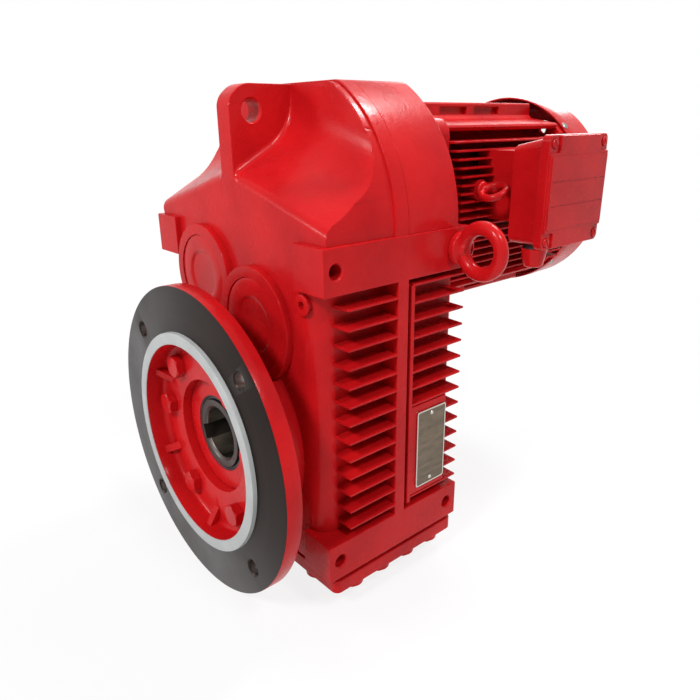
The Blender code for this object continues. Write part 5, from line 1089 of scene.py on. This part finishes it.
class GEARMOTOR_OT_terminals(bpy.types.Operator):
    """Terminal box, its gasket and lid, and the blind plug below"""

    bl_idname = "gearmotor.terminals"
    bl_label = "Terminal box"

    def execute(self, context):
        front, rear, low, high = 0.320, 0.429, 0.203, 0.3145
        shell = tablet((front, low), (rear, high), "X", 0.166, 0.2001, 0.009)
        for vert in shell.verts:
            if vert.co.x < 0.17 and vert.co.z > high - 0.02:
                vert.co.z -= 0.007
        shell = soften(shell, 0.0013, 2, 40.0)
        inside = brick((0.1702, front + 0.0045, low + 0.0045), (0.204, rear - 0.0045, high - 0.014))
        shell = carve(shell, inside)
        block_low, block_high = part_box("terminal_block")
        seat = brick((0.162, block_low.y + 0.008, block_low.z + 0.004), (0.1699, block_high.y - 0.008,
                                                                         block_high.z - 0.004))
        shell = joined(shell, seat)
        plug = Matrix.Translation((0.1863, 0.344, low))
        shell = carve(shell, drum(0.0083, -0.006, 0.008, plug, 32))
        red_piece("terminal_box_cast", shell, "terminal_box", sharp=33.0, weigh=True)
        gasket = tablet((front + 0.001, low + 0.001), (rear - 0.001, high - 0.001), "X", 0.2003, 0.2019,
                        0.008)
        window = brick((0.199, front + 0.005, low + 0.005), (0.204, rear - 0.005, high - 0.005))
        gasket = carve(gasket, window)
        place_piece("terminal_gasket_ring", gasket, "gasket_fibre",
                    replaces=("terminal_gasket",))
        self.make_lid(front - 0.0035, rear + 0.0035, low - 0.0035, high + 0.0035)
        profile = [(0.0085, -0.0275), (0.0108, -0.0262), (0.0148, -0.0075), (0.0148, -0.0064),
                   (0.0125, -0.0060), (0.0125, -0.0003), (0.0080, -0.0003), (0.0080, 0.0055)]
        body = solid(profile, plug, BORE_STEPS, 0.0008)
        for face in body.faces:
            if -0.0062 < face.calc_center_median().z - low < -0.0002:
                face.material_index = 1
        red_piece("cable_plug_turned", body, "cable_plug", ["red_enamel_smooth", "black_rubber"])
        return {"FINISHED"}

    def make_lid(self, front, rear, low, high):
        """Lid with recessed ears, a raised field and round slotted screws."""
        seat, ear_face, face = 0.2021, 0.2116, 0.2151
        ear = 0.018
        plate = tablet((front, low), (rear, high), "X", seat, ear_face, 0.007)
        plate = eased(plate, 0.0012, 2, lambda middle: middle.x > ear_face - 0.0005)
        field = [(front + ear, low + 0.001), (rear - ear, low + 0.001), (rear - ear, low + ear),
                 (rear - 0.001, low + ear), (rear - 0.001, high - ear), (rear - ear, high - ear),
                 (rear - ear, high - 0.001), (front + ear, high - 0.001), (front + ear, high - ear),
                 (front + 0.001, high - ear), (front + 0.001, low + ear), (front + ear, low + ear)]
        raised = slab(field, "X", ear_face - 0.004, face - 0.0011, 0.0025)
        raised = eased(raised, 0.0009, 2, lambda middle: middle.x > face - 0.0015)
        panel = tablet((front + 0.003, low + 0.0215), (rear - 0.003, high - 0.0215), "X", face - 0.003, face,
                       0.002)
        panel = eased(panel, 0.0005, 2, lambda middle: middle.x > face - 0.0002)
        body = joined(plate, raised, panel)
        for z in (0.271, 0.246):
            line = brick((face - 0.0006, front + 0.006, z - 0.0005), (face + 0.002, rear - 0.006, z + 0.0005))
            body = carve(body, line)
        screws = bmesh.new()
        for y in (front + ear * 0.48, rear - ear * 0.48):
            for z in (low + ear * 0.48, high - ear * 0.48):
                place = along_x(ear_face, y, z)
                body = carve(body, drum(0.0056, -0.003, 0.002, place, 32))
                head = [(0.0, -0.0026), (0.0049, -0.0026), (0.0049, 0.0008), (0.0036, 0.0021), (0.0, 0.0026)]
                head = turned(head, place, 40, closed=False, ease=0.0003)
                notch = brick((-0.006, -0.00065, 0.0012), (0.006, 0.00065, 0.006))
                bmesh.ops.transform(notch, matrix=place @ Matrix.Rotation(0.6, 4, "Z"), verts=notch.verts)
                merge(screws, carve(head, notch))
        red_piece("terminal_lid_cast", body, "terminal_cover", sharp=33.0, weigh=True)
        red_piece("terminal_lid_screws", screws, sharp=30.0)


class GEARMOTOR_OT_plate(bpy.types.Operator):
    """Bare plate on the flank with its rim and two rivets"""

    bl_idname = "gearmotor.plate"
    bl_label = "Bare plate"

    def execute(self, context):
        low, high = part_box("nameplate")
        outer = tablet((low.y, low.z), (high.y, high.z), "X", low.x, high.x, 0.003)
        rim = 0.0016
        field = tablet((low.y + rim, low.z + rim), (high.y - rim, high.z - rim), "X", high.x - 0.0005,
                       high.x + 0.002, 0.0022)
        body = carve(outer, field)
        middle = (low + high) / 2
        for z in (low.z + 0.0062, high.z - 0.0062):
            place = along_x(high.x - 0.0005, middle.y, z)
            rivet = [(0.0, -0.0004), (0.0024, -0.0004), (0.0024, 0.0003), (0.0016, 0.0011), (0.0, 0.0013)]
            body = joined(body, turned(rivet, place, 32, closed=False))
        for face in body.faces:
            spot = face.calc_center_median()
            edge = min(spot.y - low.y, high.y - spot.y, spot.z - low.z, high.z - spot.z)
            if edge > rim + 0.0002 and abs(spot.x - (high.x - 0.0005)) < 0.0001:
                face.material_index = 1
        place_piece("bare_plate", body, ["bright_steel", "plate_metal"],
                    replaces=("nameplate",), sharp=30.0)
        return {"FINISHED"}


class GEARMOTOR_OT_stage(bpy.types.Operator):
    """Floor, light and the camera at the photograph's angle"""

    bl_idname = "gearmotor.stage"
    bl_label = "Stage"

    def execute(self, context):
        stage = context.scene.gear_motor_stage
        self.lay_floor(context, stage)
        self.hang_lamps(context)
        self.set_world(context, stage)
        self.set_camera(context, stage)
        context.scene.view_settings.view_transform = "Standard"
        return {"FINISHED"}

    def lay_floor(self, context, stage):
        """Pale round floor under the flange's lowest point."""
        body = bmesh.new()
        bmesh.ops.create_circle(body, cap_ends=True, radius=stage.floor_radius, segments=96)
        bmesh.ops.translate(body, vec=(0.0, 0.0, CAD_BOX[0].z - 0.0005), verts=body.verts)
        mesh = bpy.data.meshes.new("studio_floor")
        body.to_mesh(mesh)
        body.free()
        finish = FINISHES["studio_floor"]
        tree = finish.node_tree
        far = tree.nodes.new("ShaderNodeVectorMath")
        far.operation = "LENGTH"
        tree.links.new(tree.nodes["Texture Coordinate"].outputs["Object"], far.inputs[0])
        white = tree.nodes.new("ShaderNodeMapRange")
        for socket, value in (("From Min", 0.35), ("From Max", 1.1), ("To Min", stage.floor_white),
                              ("To Max", 1.0)):
            white.inputs[socket].default_value = value
        tree.links.new(far.outputs["Value"], white.inputs["Value"])
        share = tree.nodes.new("ShaderNodeMath")
        share.operation = "MULTIPLY"
        tree.links.new(white.outputs["Result"], share.inputs[1])
        tree.links.new(self.plain_rays(tree), share.inputs[0])
        glow = tree.nodes.new("ShaderNodeEmission")
        glow.inputs["Strength"].default_value = 1.0
        mix = tree.nodes.new("ShaderNodeMixShader")
        tree.links.new(share.outputs[0], mix.inputs[0])
        tree.links.new(tree.nodes["Principled BSDF"].outputs[0], mix.inputs[1])
        tree.links.new(glow.outputs[0], mix.inputs[2])
        tree.links.new(mix.outputs[0], tree.nodes["Material Output"].inputs["Surface"])
        mesh.materials.append(finish)
        floor = bpy.data.objects.new("studio_floor", mesh)
        context.scene.collection.objects.link(floor)

    def hang_lamps(self, context):
        """Soft area lamps aimed at the middle of the part."""
        target = Vector(PART_MIDDLE)
        lamps = (("key_lamp", (0.5, -1.6, 1.7), 0.5, 38.0), ("left_lamp", (-1.3, -1.8, 0.9), 0.6, 16.0),
                 ("top_lamp", (0.15, 1.2, 1.75), 0.4, 24.0), ("back_lamp", (-0.8, 1.9, 1.0), 0.9, 10.0),
                 ("right_lamp", (1.7, 0.1, 2.1), 0.5, 28.0))
        for name, place, size, power in lamps:
            data = bpy.data.lights.new(name, "AREA")
            data.shape = "DISK"
            data.size = size
            data.energy = power
            lamp = bpy.data.objects.new(name, data)
            lamp.location = place
            lamp.rotation_euler = (target - Vector(place)).to_track_quat("-Z", "Y").to_euler()
            context.scene.collection.objects.link(lamp)

    def plain_rays(self, tree):
        """Socket that is 1 for the rays that see the background as plain white."""
        path = tree.nodes.new("ShaderNodeLightPath")
        seen = path.outputs["Is Camera Ray"]
        for ray in ("Is Glossy Ray", "Is Transmission Ray"):
            either = tree.nodes.new("ShaderNodeMath")
            either.operation = "MAXIMUM"
            tree.links.new(seen, either.inputs[0])
            tree.links.new(path.outputs[ray], either.inputs[1])
            seen = either.outputs[0]
        return seen

    def set_world(self, context, stage):
        """Even light, seen as plain white by the camera and in reflections."""
        world = bpy.data.worlds.new("studio_world")
        world.use_nodes = True
        tree = world.node_tree
        back = tree.nodes["Background"]
        back.inputs["Color"].default_value = (1.0, 1.0, 1.0, 1.0)
        seen = self.plain_rays(tree)
        level = tree.nodes.new("ShaderNodeMapRange")
        level.inputs["To Min"].default_value = stage.world_light
        level.inputs["To Max"].default_value = 1.0
        tree.links.new(seen, level.inputs["Value"])
        tree.links.new(level.outputs["Result"], back.inputs["Strength"])
        context.scene.world = world

    def set_camera(self, context, stage):
        """Camera at the photograph's viewing angle."""
        azimuth = stage.azimuth
        elevation = stage.elevation
        roll = stage.roll
        ahead = Vector((-math.sin(azimuth) * math.cos(elevation), math.cos(azimuth) * math.cos(elevation),
                        -math.sin(elevation)))
        right = Vector((math.cos(azimuth), math.sin(azimuth), 0.0))
        above = right.cross(ahead)
        level = right * math.cos(roll) + above * math.sin(roll)
        upright = above * math.cos(roll) - right * math.sin(roll)
        turn = Matrix((level, upright, -ahead)).transposed().to_4x4()
        data = bpy.data.cameras.new("studio_camera")
        data.lens = stage.focal_length
        data.sensor_width = 36.0
        camera = bpy.data.objects.new("studio_camera", data)
        camera.matrix_world = Matrix.Translation(stage.camera_place) @ turn
        context.scene.collection.objects.link(camera)
        context.scene.camera = camera


OPERATORS = (GEARMOTOR_OT_finish_nodes, GEARMOTOR_OT_castings, GEARMOTOR_OT_flange, GEARMOTOR_OT_output,
             GEARMOTOR_OT_caps, GEARMOTOR_OT_eyebolts, GEARMOTOR_OT_fan_cover, GEARMOTOR_OT_bottom,
             GEARMOTOR_OT_terminals, GEARMOTOR_OT_plate, GEARMOTOR_OT_stage)


class GEARMOTOR_PT_panel(bpy.types.Panel):
    """Buttons for each group of pieces"""

    bl_idname = "GEARMOTOR_PT_panel"
    bl_label = "Gear motor"
    bl_space_type = "VIEW_3D"
    bl_region_type = "UI"
    bl_category = "Gear motor"

    def draw(self, context):
        for operator in OPERATORS:
            self.layout.operator(operator.bl_idname)
        for name, group in SETTINGS:
            settings = getattr(context.scene, name)
            for field in group.__annotations__:
                self.layout.prop(settings, field)


CLASSES = tuple(group for _, group in SETTINGS) + OPERATORS + (GEARMOTOR_PT_panel,)


def register():
    """Register the classes and hang the settings on the scene."""
    for entry in CLASSES:
        bpy.utils.register_class(entry)
    for name, group in SETTINGS:
        setattr(bpy.types.Scene, name, PointerProperty(type=group))


def unregister():
    """Take the settings and classes away again."""
    for name, _ in SETTINGS:
        delattr(bpy.types.Scene, name)
    for entry in reversed(CLASSES):
        bpy.utils.unregister_class(entry)


def main():
    """Register the classes and build every piece."""
    register()
    for operator in OPERATORS:
        group, action = operator.bl_idname.split(".")
        getattr(getattr(bpy.ops, group), action)()


if __name__ == "__main__":
    main()
